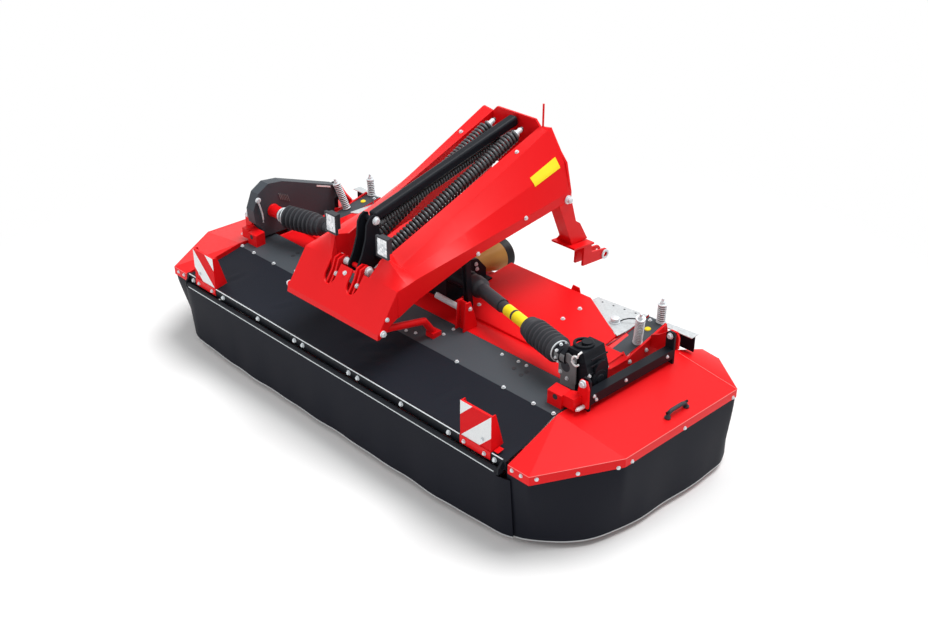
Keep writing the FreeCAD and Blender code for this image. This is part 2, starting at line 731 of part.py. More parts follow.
def make_hood():
    start = S.beam_rear - 10
    outline = []
    right_half = [(S.frame_across, start), (S.frame_across, S.console_front - 5),
                  (S.console_inner - 4, S.console_front - 5), (S.hood_half, S.hood_shoulder),
                  (S.hood_rear_half, S.hood_rear)]
    outline.extend(right_half)
    outline.extend((-across, place) for across, place in reversed(right_half))
    plan = pad("HoodPlan", "XY", S.beam_bottom, S.hood_rear_height + 50, outline)
    sheet = pad("HoodSheet", "YZ", -S.frame_across, S.frame_across,
                [(start, S.deck_rear_height), (start, hood_height(start)),
                 (S.hood_rear, S.hood_rear_height), (S.hood_rear, S.hood_rear_height - S.hood_drop),
                 (S.hood_rear - S.sheet_gauge, S.hood_rear_height - S.hood_drop),
                 (S.hood_rear - S.sheet_gauge, hood_height(S.hood_rear - S.sheet_gauge) - S.sheet_gauge),
                 (start + S.sheet_gauge, hood_height(start + S.sheet_gauge) - S.sheet_gauge),
                 (start + S.sheet_gauge, S.deck_rear_height)])
    top = DOCUMENT.addObject("Part::Common", "HoodTop")
    top.Base = plan
    top.Tool = sheet
    notch = block("Notch", (-S.tunnel_half, S.tunnel_half), (S.beam_rear, S.hood_rear + 10),
                  (S.beam_bottom, S.hood_rear_height + 50))
    floor = pad("TunnelFloor", "YZ", -S.tunnel_half, S.tunnel_half,
                [(S.gearbox_rear - 4, S.tunnel_floor + 39), (S.gearbox_rear + 70, S.tunnel_floor),
                 (S.hood_rear, S.tunnel_floor), (S.hood_rear, S.tunnel_floor - S.deck_gauge),
                 (S.gearbox_rear + 68, S.tunnel_floor - S.deck_gauge),
                 (S.gearbox_rear - 8, S.tunnel_floor + 33)])
    walls = []
    for side, word in SIDES:
        walls.append(pad("TunnelWall", "YZ", side * S.tunnel_half, side * (S.tunnel_half - S.sheet_gauge),
                         [(S.gearbox_rear - 4, S.tunnel_floor + 39), (S.gearbox_rear + 70, S.tunnel_floor),
                          (S.hood_rear, S.tunnel_floor), (S.hood_rear, S.hood_rear_height),
                          (S.gearbox_rear - 4, hood_height(S.gearbox_rear - 4))]))
    publish("hood", fuse("Hood", cut("OpenHood", top, notch), floor, *walls))


def make_consoles():
    """The narrow boxes between the hood and the side frames that carry the upright springs."""
    pieces = []
    for side, word in SIDES:
        inner = side * S.console_inner
        outer = side * S.frame_across
        plate = pad("ConsoleTop", "YZ", inner, outer,
                    [(S.console_front, S.console_low), (S.console_rear, S.console_high),
                     (S.console_rear, S.console_high - S.deck_gauge),
                     (S.console_front, S.console_low - S.deck_gauge)])
        start = S.console_front - 5
        wall = pad("ConsoleWall", "YZ", inner, inner - side * S.sheet_gauge,
                   [(start, S.console_low + 8), (S.console_rear, S.console_high + 8),
                    (S.console_rear, S.swath_height - 6), (start, hood_height(start) - S.sheet_gauge)])
        front = pad("ConsoleFront", "YZ", inner, outer,
                    [(start, hood_height(start) - S.sheet_gauge), (start, S.console_low + 8),
                     (start + S.deck_gauge, S.console_low + 8),
                     (start + S.deck_gauge, hood_height(start) - S.sheet_gauge)])
        pieces.append(fuse("Console", plate, wall, front))
    publish("consoles", group("Consoles", *pieces))


def console_height(place):
    rise = (S.console_high - S.console_low) / (S.console_rear - S.console_front)
    return S.console_low + rise * (place - S.console_front)


def make_upright_springs():
    """Two pressure springs with threaded rods on each console. Columns: across, place, height."""
    pieces = []
    for side, word in SIDES:
        for across, place, tall in ((1042, 965, 150), (1027, 1131, 74)):
            seat = console_height(place + 17)
            foot = point(side * across, place, seat)
            crown = point(side * across, place, seat + tall)
            tip = point(side * across, place, seat + tall + 28)
            pieces.append(fuse("UprightSpring", ribbed("Coil", foot, crown, 17.0, 13.0, 12),
                               slant_rod("ThreadedRod", crown, tip, 7.0)))
    publish("upright_springs", group("UprightSprings", *pieces))


def make_corner_plates():
    """Galvanised plates at the hood's rear corners with their black flaps."""
    pieces = []
    for side, word in SIDES:
        plate = pad("CornerPlate", "XY", S.swath_height - S.sheet_gauge, S.swath_height,
                    [(side * S.hood_half, S.hood_shoulder),
                     (side * (S.console_inner - S.sheet_gauge), S.hood_shoulder),
                     (side * (S.console_inner - S.sheet_gauge), S.console_rear + 2),
                     (side * S.swath_outer, S.console_rear + 2), (side * S.swath_outer, S.swath_rear),
                     (side * S.hood_rear_half, S.hood_rear + 54), (side * S.hood_rear_half, S.hood_rear)])
        flap = block("Flap", (side * (S.frame_across + 25), side * (S.swath_outer - 2)),
                     (S.swath_rear - 26, S.swath_rear - 20), (S.cover_high - 18, S.swath_height - S.sheet_gauge))
        pieces.append(fuse("CornerPlate", plate, flap))
    publish("corner_plates", group("CornerPlates", *pieces))


def make_vanes():
    """Swath vanes on upright pins under the consoles."""
    top = S.vane_top
    brackets = []
    for side, word in SIDES:
        bracket = block("Bracket", (side * (S.console_inner + 8), side * S.frame_across),
                        (S.vane_place - 25, S.vane_place + 25), (top + 1, top + 7))
        pin = rod("VanePin", "Z", side * S.vane_across, S.vane_place, S.vane_bottom - 20,
                  top + 1 - S.vane_bottom + 20, S.vane_pin)
        brackets.append(fuse("VaneBracket", bracket, pin))
        barrel = rod("Barrel", "Z", side * S.vane_across, S.vane_place, S.vane_bottom,
                     top - S.vane_bottom, S.vane_pin + 6)
        bore = rod("Bore", "Z", side * S.vane_across, S.vane_place, S.vane_bottom - 1,
                   top - S.vane_bottom + 2, S.vane_pin + S.pin_clearance)
        lean = math.radians(S.vane_angle.value)
        along = (-side * math.sin(lean), math.cos(lean))
        out = (side * math.cos(lean), math.sin(lean))
        corners = []
        for distance, offset in ((S.vane_pin.value + 2, -2), (S.vane_length.value, -2),
                                 (S.vane_length.value, 2), (S.vane_pin.value + 2, 2)):
            corners.append((side * S.vane_across + along[0] * distance + out[0] * offset,
                            S.vane_place + along[1] * distance + out[1] * offset))
        blade = pad("Blade", "XY", S.vane_bottom, top, corners)
        publish(f"swath_vane_{word}", cut("SwathVane", fuse("Vane", barrel, blade), bore))
    publish("vane_brackets", group("VaneBrackets", *brackets))


# ---------------------------------------------------------------- drive line

def shaft_line(side):
    """Both ends of a drive shaft."""
    return (point(side * (S.joint_across - 28.8), S.joint_place, S.joint_height),
            point(side * (S.bevel_across - 17.2), S.bevel_place, S.bevel_height))


def make_centre_gearbox():
    """The input gearbox, its flange over the hood's notch and its two output bosses."""
    rear = S.gearbox_rear
    body = pad("Body", "YZ", -115, 115,
               [(rear - 4, 500.0), (rear - 4, 590), (rear - 60, 655), (S.joint_place - 10, 690),
                (S.beam_rear + 10, 660), (S.beam_rear + 5, 500.0)])
    flange = pad("Flange", "YZ", -S.tunnel_half - 30, S.tunnel_half + 30,
                 [(S.beam_rear, hood_height(S.beam_rear)), (rear - 1, hood_height(rear - 1)),
                  (rear - 1, hood_height(rear - 1) + 8), (S.beam_rear, hood_height(S.beam_rear) + 8)])
    boss = rod("Boss", "X", -S.joint_across + 40, S.joint_place, S.joint_height,
               2 * S.joint_across - 80, 48)
    stubs = []
    for side, word in SIDES:
        start, end = shaft_line(side)
        along = (end - start).normalize()
        stubs.append(slant_rod("Stub", start - along * 40, start, 44))
    neck = rod("Neck", "Y", 0, rear - 30, S.input_height, 30, 46)
    bore = rod("Bore", "Y", 0, rear - 60, S.input_height, 80, S.journal_radius + S.pin_clearance)
    cap = rod("Cap", "Z", 0, rear - 120, 640, 46, 40)
    publish("centre_gearbox", cut("CentreGearbox", fuse("Case", body, flange, boss, *stubs, neck, cap), bore))


def make_input():
    """The splined input stub and the cone guard round it."""
    stub = rod("Stub", "Y", 0, S.gearbox_rear - 1, S.input_height,
               S.input_end - S.gearbox_rear + 1, S.input_radius)
    journal = rod("Journal", "Y", 0, S.gearbox_rear - 58, S.input_height, 58, S.journal_radius)
    publish("input_shaft", fuse("InputShaft", stub, journal))
    centre_start = point(0, S.gearbox_rear, S.input_height)
    centre_end = point(0, S.input_end + 12, S.input_height)
    outer = turned("Outer", centre_start, centre_end,
                   [(0.0, 0.0), (0.0, 46), (70.0, 50), (200.0, 82), (220.0, 86), (232.0, 86), (232.0, 0.0)])
    inner = turned("Inner", centre_start + FreeCAD.Vector(0, -1, 0), centre_end,
                   [(0.0, 0.0), (0.0, 42), (71.0, 46), (201.0, 78), (240.0, 78), (240.0, 0.0)])
    publish("pto_guard", cut("PtoGuard", outer, inner))


def make_drive_shafts():
    """Guarded shafts from the middle gearbox to both ends. Columns: distance, radius."""
    for side, word in SIDES:
        start, end = shaft_line(side)
        length = (end - start).Length
        tube, bellows = S.shaft_radius.value, S.bellows_radius.value
        profile = [(0.0, 0.0), (0.0, 44), (25.0, 50), (70.0, 50), (85.0, 40), (95.0, tube + 6)]
        sleeve = length - 260
        profile.extend([(sleeve * 0.55, tube + 6), (sleeve * 0.55, tube), (sleeve, tube)])
        ribs = 9
        step = (length - sleeve - 12) / ribs
        for index in range(ribs):
            foot = sleeve + index * step
            swell = bellows - 16 + 16 * min(1.0, (index + 1) / 3)
            profile.extend([(foot + 2, swell - 14), (foot + step * 0.35, swell), (foot + step * 0.65, swell)])
        profile.extend([(length - 8, 48), (length, 44), (length, 0.0)])
        publish(f"drive_shaft_{word}", turned("DriveShaft", start, end, profile))


def make_end_gearbox():
    """The right-hand end's bevel gearbox on the side frame."""
    floor = S.deck_rear_height + 5
    body = pad("Body", "XZ", S.bevel_place - 12, S.beam_rear - 14,
               [(1010, floor), (1150, floor), (1150, floor + 100), (1120, floor + 190), (1040, floor + 190),
                (1010, floor + 150)])
    flange = pad("Flange", "XZ", S.bevel_place - 20, S.bevel_place - 12,
                 [(1004, floor), (1090, floor), (1090, floor + 130), (1004, floor + 130)])
    collar_height = S.bevel_height
    collar = rod("Collar", "X", S.bevel_across - 6, S.bevel_place, collar_height, 40, 40)
    start, end = shaft_line(RIGHT)
    along = (end - start).normalize()
    stub = slant_rod("Stub", end, end + along * 34, 38)
    cap = rod("Cap", "Z", 1078, 575, floor + 180, 26, 24)
    bearing = rod("Bearing", "X", 1148, 580, floor + 100, 14, 42)
    publish("end_gearbox", fuse("EndGearbox", body, flange, collar, stub, cap, bearing))


def make_belt_cover():
    """The left-hand end's belt housing, from the drive shaft down to the rotor's axle."""
    upper = pad("Upper", "YZ", -1160, -1095,
                [(440, 505), (440, 565), (400, 590), (392, 668), (430, 755), (497, 795), (590, 785),
                 (950, 660), (955, 595), (800, 520), (600, 505)])
    lower = pad("Lower", "YZ", -1140, -1095,
                [(S.rotor_place - 90, S.rotor_height), (S.rotor_place + 90, S.rotor_height),
                 (S.rotor_place + 100, 600), (700, 560), (690, 506)])
    round_end = rod("RoundEnd", "X", -1140, S.rotor_place, S.rotor_height, 45, 90)
    tube = rod("Tube", "X", -1097, S.bevel_place, S.bevel_height, 1097 - S.bevel_across + 6, 30)
    start, end = shaft_line(LEFT)
    along = (end - start).normalize()
    stub = slant_rod("Stub", end, end + along * 34, 30)
    foot = block("Foot", (-1096, -S.frame_across - S.plate_gauge), (600, 690), (440, 540))
    publish("belt_cover", fuse("BeltCover", upper, lower, round_end, tube, stub, foot))


# ---------------------------------------------------------------- conditioner rotor

def make_rotor():
    tube = rod("Tube", "X", -S.rotor_half, S.rotor_place, S.rotor_height, 2 * S.rotor_half, S.rotor_tube)
    reach = S.frame_across + S.plate_gauge + 10
    axle = rod("Axle", "X", -reach, S.rotor_place, S.rotor_height, 2 * reach, S.axle_radius)
    rows = int(S.tine_rows.value)
    columns = int(S.tine_columns.value)
    pitch = (2 * S.rotor_half - 90) / (columns - 0.5)
    pieces = []
    for row in range(rows):
        turn = 360.0 / rows * row
        for column in range(columns):
            across = pitch * (column + 0.5 * (row % 2)) - S.rotor_half + 45
            for lean in (-14, 14):
                tine = DOCUMENT.addObject("Part::Box", "Tine")
                bind(tine, "Length", S.tine_gauge)
                bind(tine, "Width", S.tine_width)
                bind(tine, "Height", S.rotor_reach - S.rotor_tube)
                spin = FreeCAD.Rotation(FreeCAD.Vector(1, 0, 0), turn)
                foot = FreeCAD.Vector(as_size(across).value + lean - S.tine_gauge.value / 2,
                                      -S.tine_width.value / 2, S.rotor_tube.value)
                centre = point(0, S.rotor_place, S.rotor_height)
                tine.Placement = FreeCAD.Placement(centre + spin.multVec(foot), spin)
                pieces.append(tine)
    publish("conditioner_rotor", fuse("ConditionerRotor", tube, axle))
    publish("rotor_tines", group("RotorTines", *pieces))


# ---------------------------------------------------------------- end covers

def cover_top(across):
    """Height of a cover's sloping upper face between its front and rear facets."""
    fall = (S.cover_high - S.cover_side_height) / (S.cover_edge - S.cover_inner)
    return S.cover_high - fall * (across - S.cover_inner)


def make_covers():
    for side, word in SIDES:
        outside = cover_block("Outside", side, 0.0, 0.0, S.cover_lip.value)
        inside = cover_block("Inside", side, S.sheet_gauge.value, S.sheet_gauge.value, S.cover_lip.value + 5)
        publish(f"cover_{word}", cut("Cover", outside, inside))
        corners = cover_corners()[0:6]
        path = [(across, place) for across, place, height in corners]
        path[0] = (path[0][0] + 8.0, path[0][1])
        path[-1] = (path[-1][0] + 8.0, path[-1][1] - 1.2)
        gauge = S.sheet_gauge.value
        top = [height - S.cover_lip.value + S.curtain_lap.value for across, place, height in corners]
        hem = [S.curtain_bottom.value] * len(corners)
        wall = curtain_wall("Curtain", side, path,
                            ((top, gauge), (hem, gauge + S.curtain_taper.value)), S.curtain_gauge.value)
        publish(f"curtain_{word}", wall)


def make_cover_rails():
    """Carrier rails on the covers with the arms that hang them on their pins, and the grab handles."""
    for side, word in SIDES:
        hinge = S.hinge_across
        low, high = hinge - S.rail_half, hinge + S.rail_half
        rail = block("Rail", (side * low, side * high), (S.rail_start, S.rail_end),
                     (S.rail_top - 2 * S.rail_half, S.rail_top))
        arms = []
        for start, end in ((S.rail_start - S.plate_gauge, S.rail_start),
                           (S.rail_end, S.rail_end + S.plate_gauge)):
            arms.append(pad("HingeArm", "XZ", start, end,
                            [(side * low, cover_top(low)), (side * high, cover_top(high)),
                             (side * high, S.hinge_height + 10), (side * (hinge + 12), S.hinge_height + 22),
                             (side * (hinge - 12), S.hinge_height + 22), (side * low, S.hinge_height + 10)],
                            ((side * hinge, S.hinge_height), S.hinge_pin + S.pin_clearance)))
        across, seat = side * 1440, cover_top(1434)
        posts = [rod("Post", "Z", across, place, seat, 26, 5.0) for place in (690, 810)]
        grip = rod("Grip", "Y", across, 680, seat + 26, 140, 6.0)
        handle = fuse("Handle", grip, *posts)
        publish(f"cover_rail_{word}", group("RailAndHandle", fuse("CoverRail", rail, *arms), handle))


def make_cover_brackets():
    """Lock boxes with the front hinge uprights, and the rear hinge brackets, with their pins."""
    for side, word in SIDES:
        hinge, up = S.hinge_across, S.hinge_height
        front, back = S.upright_place, S.upright_place + S.plate_gauge
        box = pad("LockBox", "YZ", side * 1050, side * 1130,
                  [(front - 56, deck_height(front - 56)), (front, deck_height(front)),
                   (front, 556), (front - 56, 545)])
        shelf = block("Shelf", (side * 1130, side * 1190), (front - 49, front), (499, 552))
        upright = pad("Upright", "XZ", front, back,
                      [(side * 1100, 489), (side * 1130, 489), (side * 1136, 500), (side * (hinge + 30), 500),
                       (side * (hinge + 30), up - 20), (side * (hinge + 17), up + 15),
                       (side * (hinge - 17), up + 15), (side * (hinge - 30), 556), (side * 1100, 540)])
        pin = rod("FrontPin", "Y", side * hinge, front, up, S.rail_start + 3 - front, S.hinge_pin)
        lock = fuse("CoverLock", box, shelf, upright, pin)
        start = S.rail_end + S.plate_gauge + 10
        plate = pad("RearPlate", "XZ", start, start + S.plate_gauge,
                    [(side * (S.frame_across + S.plate_gauge), 500), (side * 1140, 500),
                     (side * (hinge + 30), 545), (side * (hinge + 30), up - 10),
                     (side * (hinge + 17), up + 15), (side * (hinge - 17), up + 15), (side * 1120, 580),
                     (side * (S.frame_across + S.plate_gauge), 560)])
        pin = rod("RearPin", "Y", side * hinge, S.rail_end - 3, up, start + S.plate_gauge - S.rail_end + 3,
                  S.hinge_pin)
        publish(f"cover_brackets_{word}", group("CoverBrackets", lock, fuse("CoverPivot", plate, pin)))


# ---------------------------------------------------------------- front flap and boards

def make_front_flap():
    half = S.flap_half
    tube = rod("FlapTube", "X", -half, S.flap_place, S.flap_height, 2 * half, S.flap_tube)
    strip = block("Strip", (10 - half, half - 10), (S.flap_place + 3, S.flap_place + 8),
                  (S.flap_height - 41, S.flap_height - 6))
    bores = []
    for start in (-half, half - 24):
        bores.append(rod("Bore", "X", start, S.flap_place, S.flap_height, 24, 6.0 + S.pin_clearance))
    publish("flap_bar", cut("FlapBar", fuse("BarAndStrip", tube, strip), *bores))
    wide, shoulder = S.cover_front_inner + 10, S.flap_height - 26
    sheet = pad("FrontCurtain", "XZ", S.flap_place - 3, S.flap_place + 3,
                [(-wide, S.curtain_bottom), (wide, S.curtain_bottom), (wide, shoulder), (half - 5, shoulder),
                 (half - 5, S.flap_height - 14), (5 - half, S.flap_height - 14), (5 - half, shoulder),
                 (-wide, shoulder)])
    publish("front_curtain", sheet)


def make_warning_boards():
    foot = S.bar_top
    pieces = []
    for side, word in SIDES:
        board = block("Board", (side * 903, side * 1083), (0, S.bar_depth - 2), (foot, foot + 171))
        flanges = [pad("Flange", "YZ", side * low, side * (low + 5),
                       [(S.bar_depth - 4, foot), (72, foot + 13), (27, foot + 171),
                        (S.bar_depth - 4, foot + 171)])
                   for low in (903, 1078)]
        pieces.append(fuse("WarningBoard", board, *flanges))
    publish("warning_boards", group("WarningBoards", *pieces))


# ---------------------------------------------------------------- carrier frame

def make_nose():
    crease = (S.brow_place, S.brow_height)
    sheet = pad("Front", "YZ", -S.nose_half, S.nose_half,
                [(S.nose_place - 5, S.nose_height - 25), (S.nose_place, S.nose_height), crease,
                 (S.brow_place, S.brow_height - 14), (S.nose_place + 9, S.nose_height),
                 (S.nose_place + 4, S.nose_height - 25)])
    slots = []
    ears = [rod("NoseShaft", "X", S.slot_left - 30, S.shaft_place, S.shaft_height,
                S.slot_right - S.slot_left + 60, 12)]
    for middle in (S.slot_left, S.slot_right):
        slots.append(block("Slot", (middle - S.slot_radius, middle + S.slot_radius), (60, 200),
                           (S.slot_height, S.brow_height + 10)))
        slots.append(rod("RoundEnd", "Y", middle, 60, S.slot_height, 140, S.slot_radius))
        for low, high in ((middle - 18, middle - 8), (middle + 8, middle + 18)):
            ears.append(pad("Ear", "YZ", low, high,
                            [(66, 640), (150, 764), (172, 818), (205, 828), (234, 812), (238, 780), (170, 690)]))
    cheeks = []
    for side, word in SIDES:
        outline = [(S.nose_place - 5, S.nose_height - 25), (S.nose_place, S.nose_height), crease,
                   (S.brow_place, 676), (S.brow_place - 42, 655), (S.nose_place + 11, S.nose_height - 25)]
        cheeks.append(pad("Cheek", "YZ", side * (S.nose_half - S.nose_gauge), side * S.nose_half, outline))
        cheeks.append(rod("PivotBolt", "X", S.nose_half if side == RIGHT else -S.nose_half - 12,
                          S.nose_place + 20, S.nose_height + 5, 12, 15))
    publish("nose_panel", fuse("NosePanel", cut("SlottedFront", sheet, *slots), *cheeks, *ears))


# arm sections: place, then (across, height) from the inner top corner clockwise
ARM_SECTIONS = (
    (S.brow_place, ((136, S.brow_height), (150, S.brow_height), (270, S.brow_height),
                    (S.nose_half, S.brow_height), (S.nose_half + 4, 676), (136, 676))),
    (225, ((170, 898), (193, 903), (262, 856), (S.nose_half + 1, 815), (S.nose_half + 4, 701), (160, 701))),
    (290, ((150, 889), (207, 841), (270, 836), (S.nose_half + 2, 829), (S.nose_half + 5, 727), (150, 727))),
    (603, ((153, 1010), (214, 981), (290, 930), (345, 879), (347, 825), (153, 825))),
    (S.arm_rear, ((160, S.arm_top), (228, S.arm_top + 10), (330, 1120), (S.arm_outer, 979),
                  (S.arm_outer, S.arm_bottom), (160, S.arm_bottom))))


def arm_under(place):
    """Height of the carrier arms' underside."""
    if as_size(place).value < 603:
        return 727 + (825 - 727) * (place - 290) / (603 - 290)
    return 825 + (S.arm_bottom - 825) * (place - 603) / (S.arm_rear - 603)


def make_arms():
    for side, word in SIDES:
        sections = [(place, [(side * across, height) for across, height in corners])
                    for place, corners in ARM_SECTIONS]
        publish(f"arm_{word}", loft("Arm", "XZ", sections))


def make_headstock():
    """The cross plate behind the arms, the top link ears and the sight rod."""
    rear = S.arm_rear
    half = [(250, S.arm_bottom), (S.arm_outer, S.arm_bottom), (S.arm_outer, 979), (338, 1118), (297, 1163),
            (228, S.arm_top + 10), (160, S.arm_top), (130, S.arm_top + 30)]
    outline = [(200, 1000)] + half + [(-across, height) for across, height in reversed(half)] + [(-200, 1000)]
    plate = pad("CrossPlate", "XZ", rear, rear + S.plate_gauge, outline)
    ears = []
    for side, word in SIDES:
        ears.append(pad("Ear", "YZ", side * S.top_fork_gap, side * (S.top_fork_gap + S.plate_gauge),
                        [(rear + S.plate_gauge, 1110), (S.top_pin_place + 20, S.top_pin_height - 30),
                         (S.top_pin_place + 30, S.top_pin_height + 10), (S.top_pin_place + 10, S.top_pin_height + 32),
                         (rear + S.plate_gauge, 1262)],
                        ((S.top_pin_place, S.top_pin_height), S.top_pin_bore)))
    sight = rod("SightRod", "Z", 177, rear + S.plate_gauge / 2, 1250, 121, 5.0)
    publish("headstock", fuse("Headstock", plate, sight, *ears))


def make_legs():
    """The two box legs below the headstock with the forks for the lower links."""
    foot, low = S.foot_plate, S.arm_bottom
    for side, word in SIDES:
        outline = [(1165, arm_under(1165)), (S.arm_rear, low), (1250, low), (1290, 810), (1321, 790),
                   (1383, foot - 4), (1268, foot - 4)]
        pieces = [pad("Plate", "YZ", side * inner, side * (inner + 10), outline)
                  for inner in (S.leg_inner, S.arm_outer - 10)]
        for web in ([(1165, arm_under(1165)), (1175, arm_under(1175)), (1278, foot - 4), (1268, foot - 4)],
                    [(1240, low), (1250, low), (1290, 810), (1383, foot - 4), (1371, foot - 4), (1280, 806)]):
            pieces.append(pad("Web", "YZ", side * (S.leg_inner + 5), side * (S.arm_outer - 5), web))
        pieces.append(pad("FootPlate", "YZ", side * (S.leg_inner - 38), side * (S.foot_across + 36),
                          [(1238, foot - 2), (1238, foot - 12), (1385, foot - 22), (1385, foot - 12)]))
        pieces.append(pad("Gusset", "XZ", 1268, 1278, [(side * (S.leg_inner - 34), foot - 6),
                                                       (side * (S.leg_inner + 5), foot - 6),
                                                       (side * (S.leg_inner + 5), foot + 50)]))
        for inner in (S.foot_across - 31, S.foot_across + 19):
            pieces.append(pad("Fork", "YZ", side * inner, side * (inner + S.plate_gauge),
                              [(1312, foot - 122), (1473, foot - 131), (1500, 573), (1504, 592), (1488, 611),
                               (1376, 627), (1370, foot - 15), (1316, foot - 15)],
                              ((S.foot_place, S.foot_height), S.link_bore)))
        publish(f"leg_{word}", fuse("Leg", *pieces))


def make_rocker():
    """The two curved plates that stand between the nose, the float springs and the middle strut."""
    outline = [(186, 775), (235, 758), (300, 790), (333, 815), (330, 900), (320, 962), (314, 1000), (308, 1030),
               (S.rocker_place - 12, S.rocker_height + 30), (264, 1025), (248, 1000), (239, 931), (214, 860),
               (186, 812)]
    plates = [pad("RockerPlate", "YZ", side * (S.strut_half + 1), side * (S.strut_half + 11), outline,
                  ((S.shaft_place, S.shaft_height), 12 + S.pin_clearance)) for side, word in SIDES]
    shafts = [rod("TopShaft", "X", -S.strut_half - 22, S.rocker_place, S.rocker_height,
                  2 * S.strut_half + 44, 12),
              rod("MiddleShaft", "X", -S.strut_half - 11, 313.05, 959.75, 2 * S.strut_half + 22, 9),
              rod("SpringShaft", "X", -88, 296, 838, 176, 10)]
    publish("rocker", fuse("Rocker", *plates, *shafts))


def make_centre_strut():
    start = point(0, S.rocker_place + 11.8, S.rocker_height + 3.1)
    end = point(0, S.arm_rear - 7, 1254)
    publish("centre_strut", slant_bar("CentreStrut", start, end, S.strut_half, S.strut_half))


def make_float_springs():
    """Three long tension springs from the rocker to the headstock. Columns: across, rear across, lift."""
    pieces = []
    for across, rear_across, lift in ((-64, -92, 0), (64, 92, 0)):
        low = point(across, S.coil_low_place, S.coil_low_height + lift)
        high = point(rear_across, S.coil_high_place, S.coil_high_height + lift)
        along = (high - low).normalize()
        coil = ribbed("Coil", low, high, S.coil_radius.value, S.coil_radius.value - S.coil_wire.value, 44)
        hook = slant_rod("Hook", low - along * 24.7, low, 8.0)
        tail = slant_rod("Tail", high, high + along * 60, 9.0)
        pieces.append(fuse("FloatSpring", coil, hook, tail))
    low, high = point(0, 345, 968), point(0, 1120, 1168)
    along = (high - low).normalize()
    pieces.append(fuse("MiddleSpring", ribbed("Coil", low, high, 18.0, 12.0, 44),
                       slant_rod("Hook", low - along * 24, low, 7.0),
                       slant_rod("Tail", high, high + along * 105, 8.0)))
    publish("float_springs", group("FloatSprings", *pieces))


def make_lamps():
    pieces = []
    for side, word in SIDES:
        across = side * 182
        pieces.append(fuse("Lamp", block("Housing", (across - 31, across + 31), (212, 244), (925, 1000)),
                           rod("Stem", "Z", across, 228, 902, 30, 6.0)))
    publish("work_lamps", group("WorkLamps", *pieces))


def make_links():
    """Lower links from the nose to the deck, and the hangers from the arms to the beam."""
    links = []
    hangers = []
    for side, word in SIDES:
        across = side * 300
        start, bend, end = point(across, 90, 633), point(across, 345, 580), point(across, 403, deck_height(403) + 16)
        foot = pad("Foot", "YZ", across - 25, across + 25,
                   [(378, deck_height(378)), (430, deck_height(430)), (430, deck_height(430) + 22),
                    (378, deck_height(378) + 26)])
        eye = rod("Eye", "X", 283 if side == RIGHT else -321, 86, 634, 38, 19)
        links.append(fuse("LowerLink", slant_rod("Tube", start, bend, 17.0), ball("Bend", bend, 17.0),
                          slant_rod("Tube", bend, end, 17.0), foot, eye))
        straps = [pad("Hanger", "YZ", side * inner, side * (inner + 8),
                      [(592, arm_under(592)), (622, arm_under(622)),
                       (646, S.deck_rear_height + 23), (616, S.deck_rear_height + 23)])
                  for inner in (284, 308)]
        lug = block("Lug", (side * 292, side * 308), (612, S.beam_rear - 11),
                    (S.deck_rear_height, S.deck_rear_height + 53))
        bolt = rod("Bolt", "X", 276 if side == RIGHT else -324, 628, S.deck_rear_height + 38, 48, 10)
        hangers.append(fuse("HangerAndLug", *straps, lug, bolt))
    publish("lower_links", group("LowerLinks", *links))
    publish("hangers", group("Hangers", *hangers))


def make_beam_brackets():
    """Upright red brackets on the beam with the centring springs between them."""
    brackets = []
    springs = []
    for side, word in SIDES:
        plates = []
        for inner in (335, 387):
            plates.append(pad("Plate", "YZ", side * inner, side * (inner + 8),
                              [(505, deck_height(505)), (S.deck_rear, S.deck_rear_height),
                               (596, S.deck_rear_height), (580, 560), (552, 640), (520, 640)]))
        plates.append(block("Web", (side * 340, side * 390), (536, 544), (S.deck_rear_height, 636)))
        brackets.append(fuse("Bracket", *plates))
        low, high = point(side * 150, 560, 580), point(side * 334.1, 545, 585)
        springs.append(ribbed("Coil", low, high, 15.0, 10.0, 16))
    publish("beam_brackets", group("BeamBrackets", *brackets))
    publish("centring_springs", group("CentringSprings", *springs))


for make in (make_cutterbar, make_discs, make_skids, make_side_frames, make_main_beam, make_deck,
             make_front_frame, make_fabric_top, make_hood, make_consoles, make_upright_springs,
             make_corner_plates, make_vanes, make_centre_gearbox, make_input, make_drive_shafts,
             make_end_gearbox, make_belt_cover, make_rotor, make_covers, make_cover_rails,
             make_cover_brackets, make_front_flap, make_warning_boards, make_nose,
             make_arms, make_headstock, make_legs, make_rocker, make_centre_strut, make_float_springs,
             make_lamps, make_links, make_beam_brackets):
    make()
DOCUMENT.recompute()

# ---------------------------------------------------------------- checks and files
faults = []
for item in DOCUMENT.Objects:
    if "Invalid" in item.State or "Error" in item.State:
        faults.append(f"{item.Label} ({item.Name}): {item.State}")
for node, item in NODES.items():
    if item.Shape.isNull() or not item.Shape.isValid() or not item.Shape.Solids:
        faults.append(f"{node}: no valid solid")
if faults:
    raise RuntimeError("; ".join(faults))

os.makedirs("parts", exist_ok=True)
whole = FreeCAD.BoundBox()
for node, item in NODES.items():
    item.Shape.exportStep(f"parts/{node}.step")
    whole.add(item.Shape.BoundBox)
print(f"{len(NODES)} sub-parts, {whole}")
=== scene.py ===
# %% [markdown]
# A front mower conditioner: a three metre box of red sheet, black rubber and grey cloth, carried
# by a sprung red arm. The frame comes from the CAD model, where every piece is already at its
# real size and place. This lesson gives those pieces their edges, finishes, cloth and fasteners.
# Loading comes first, because every later piece is measured from the frame.

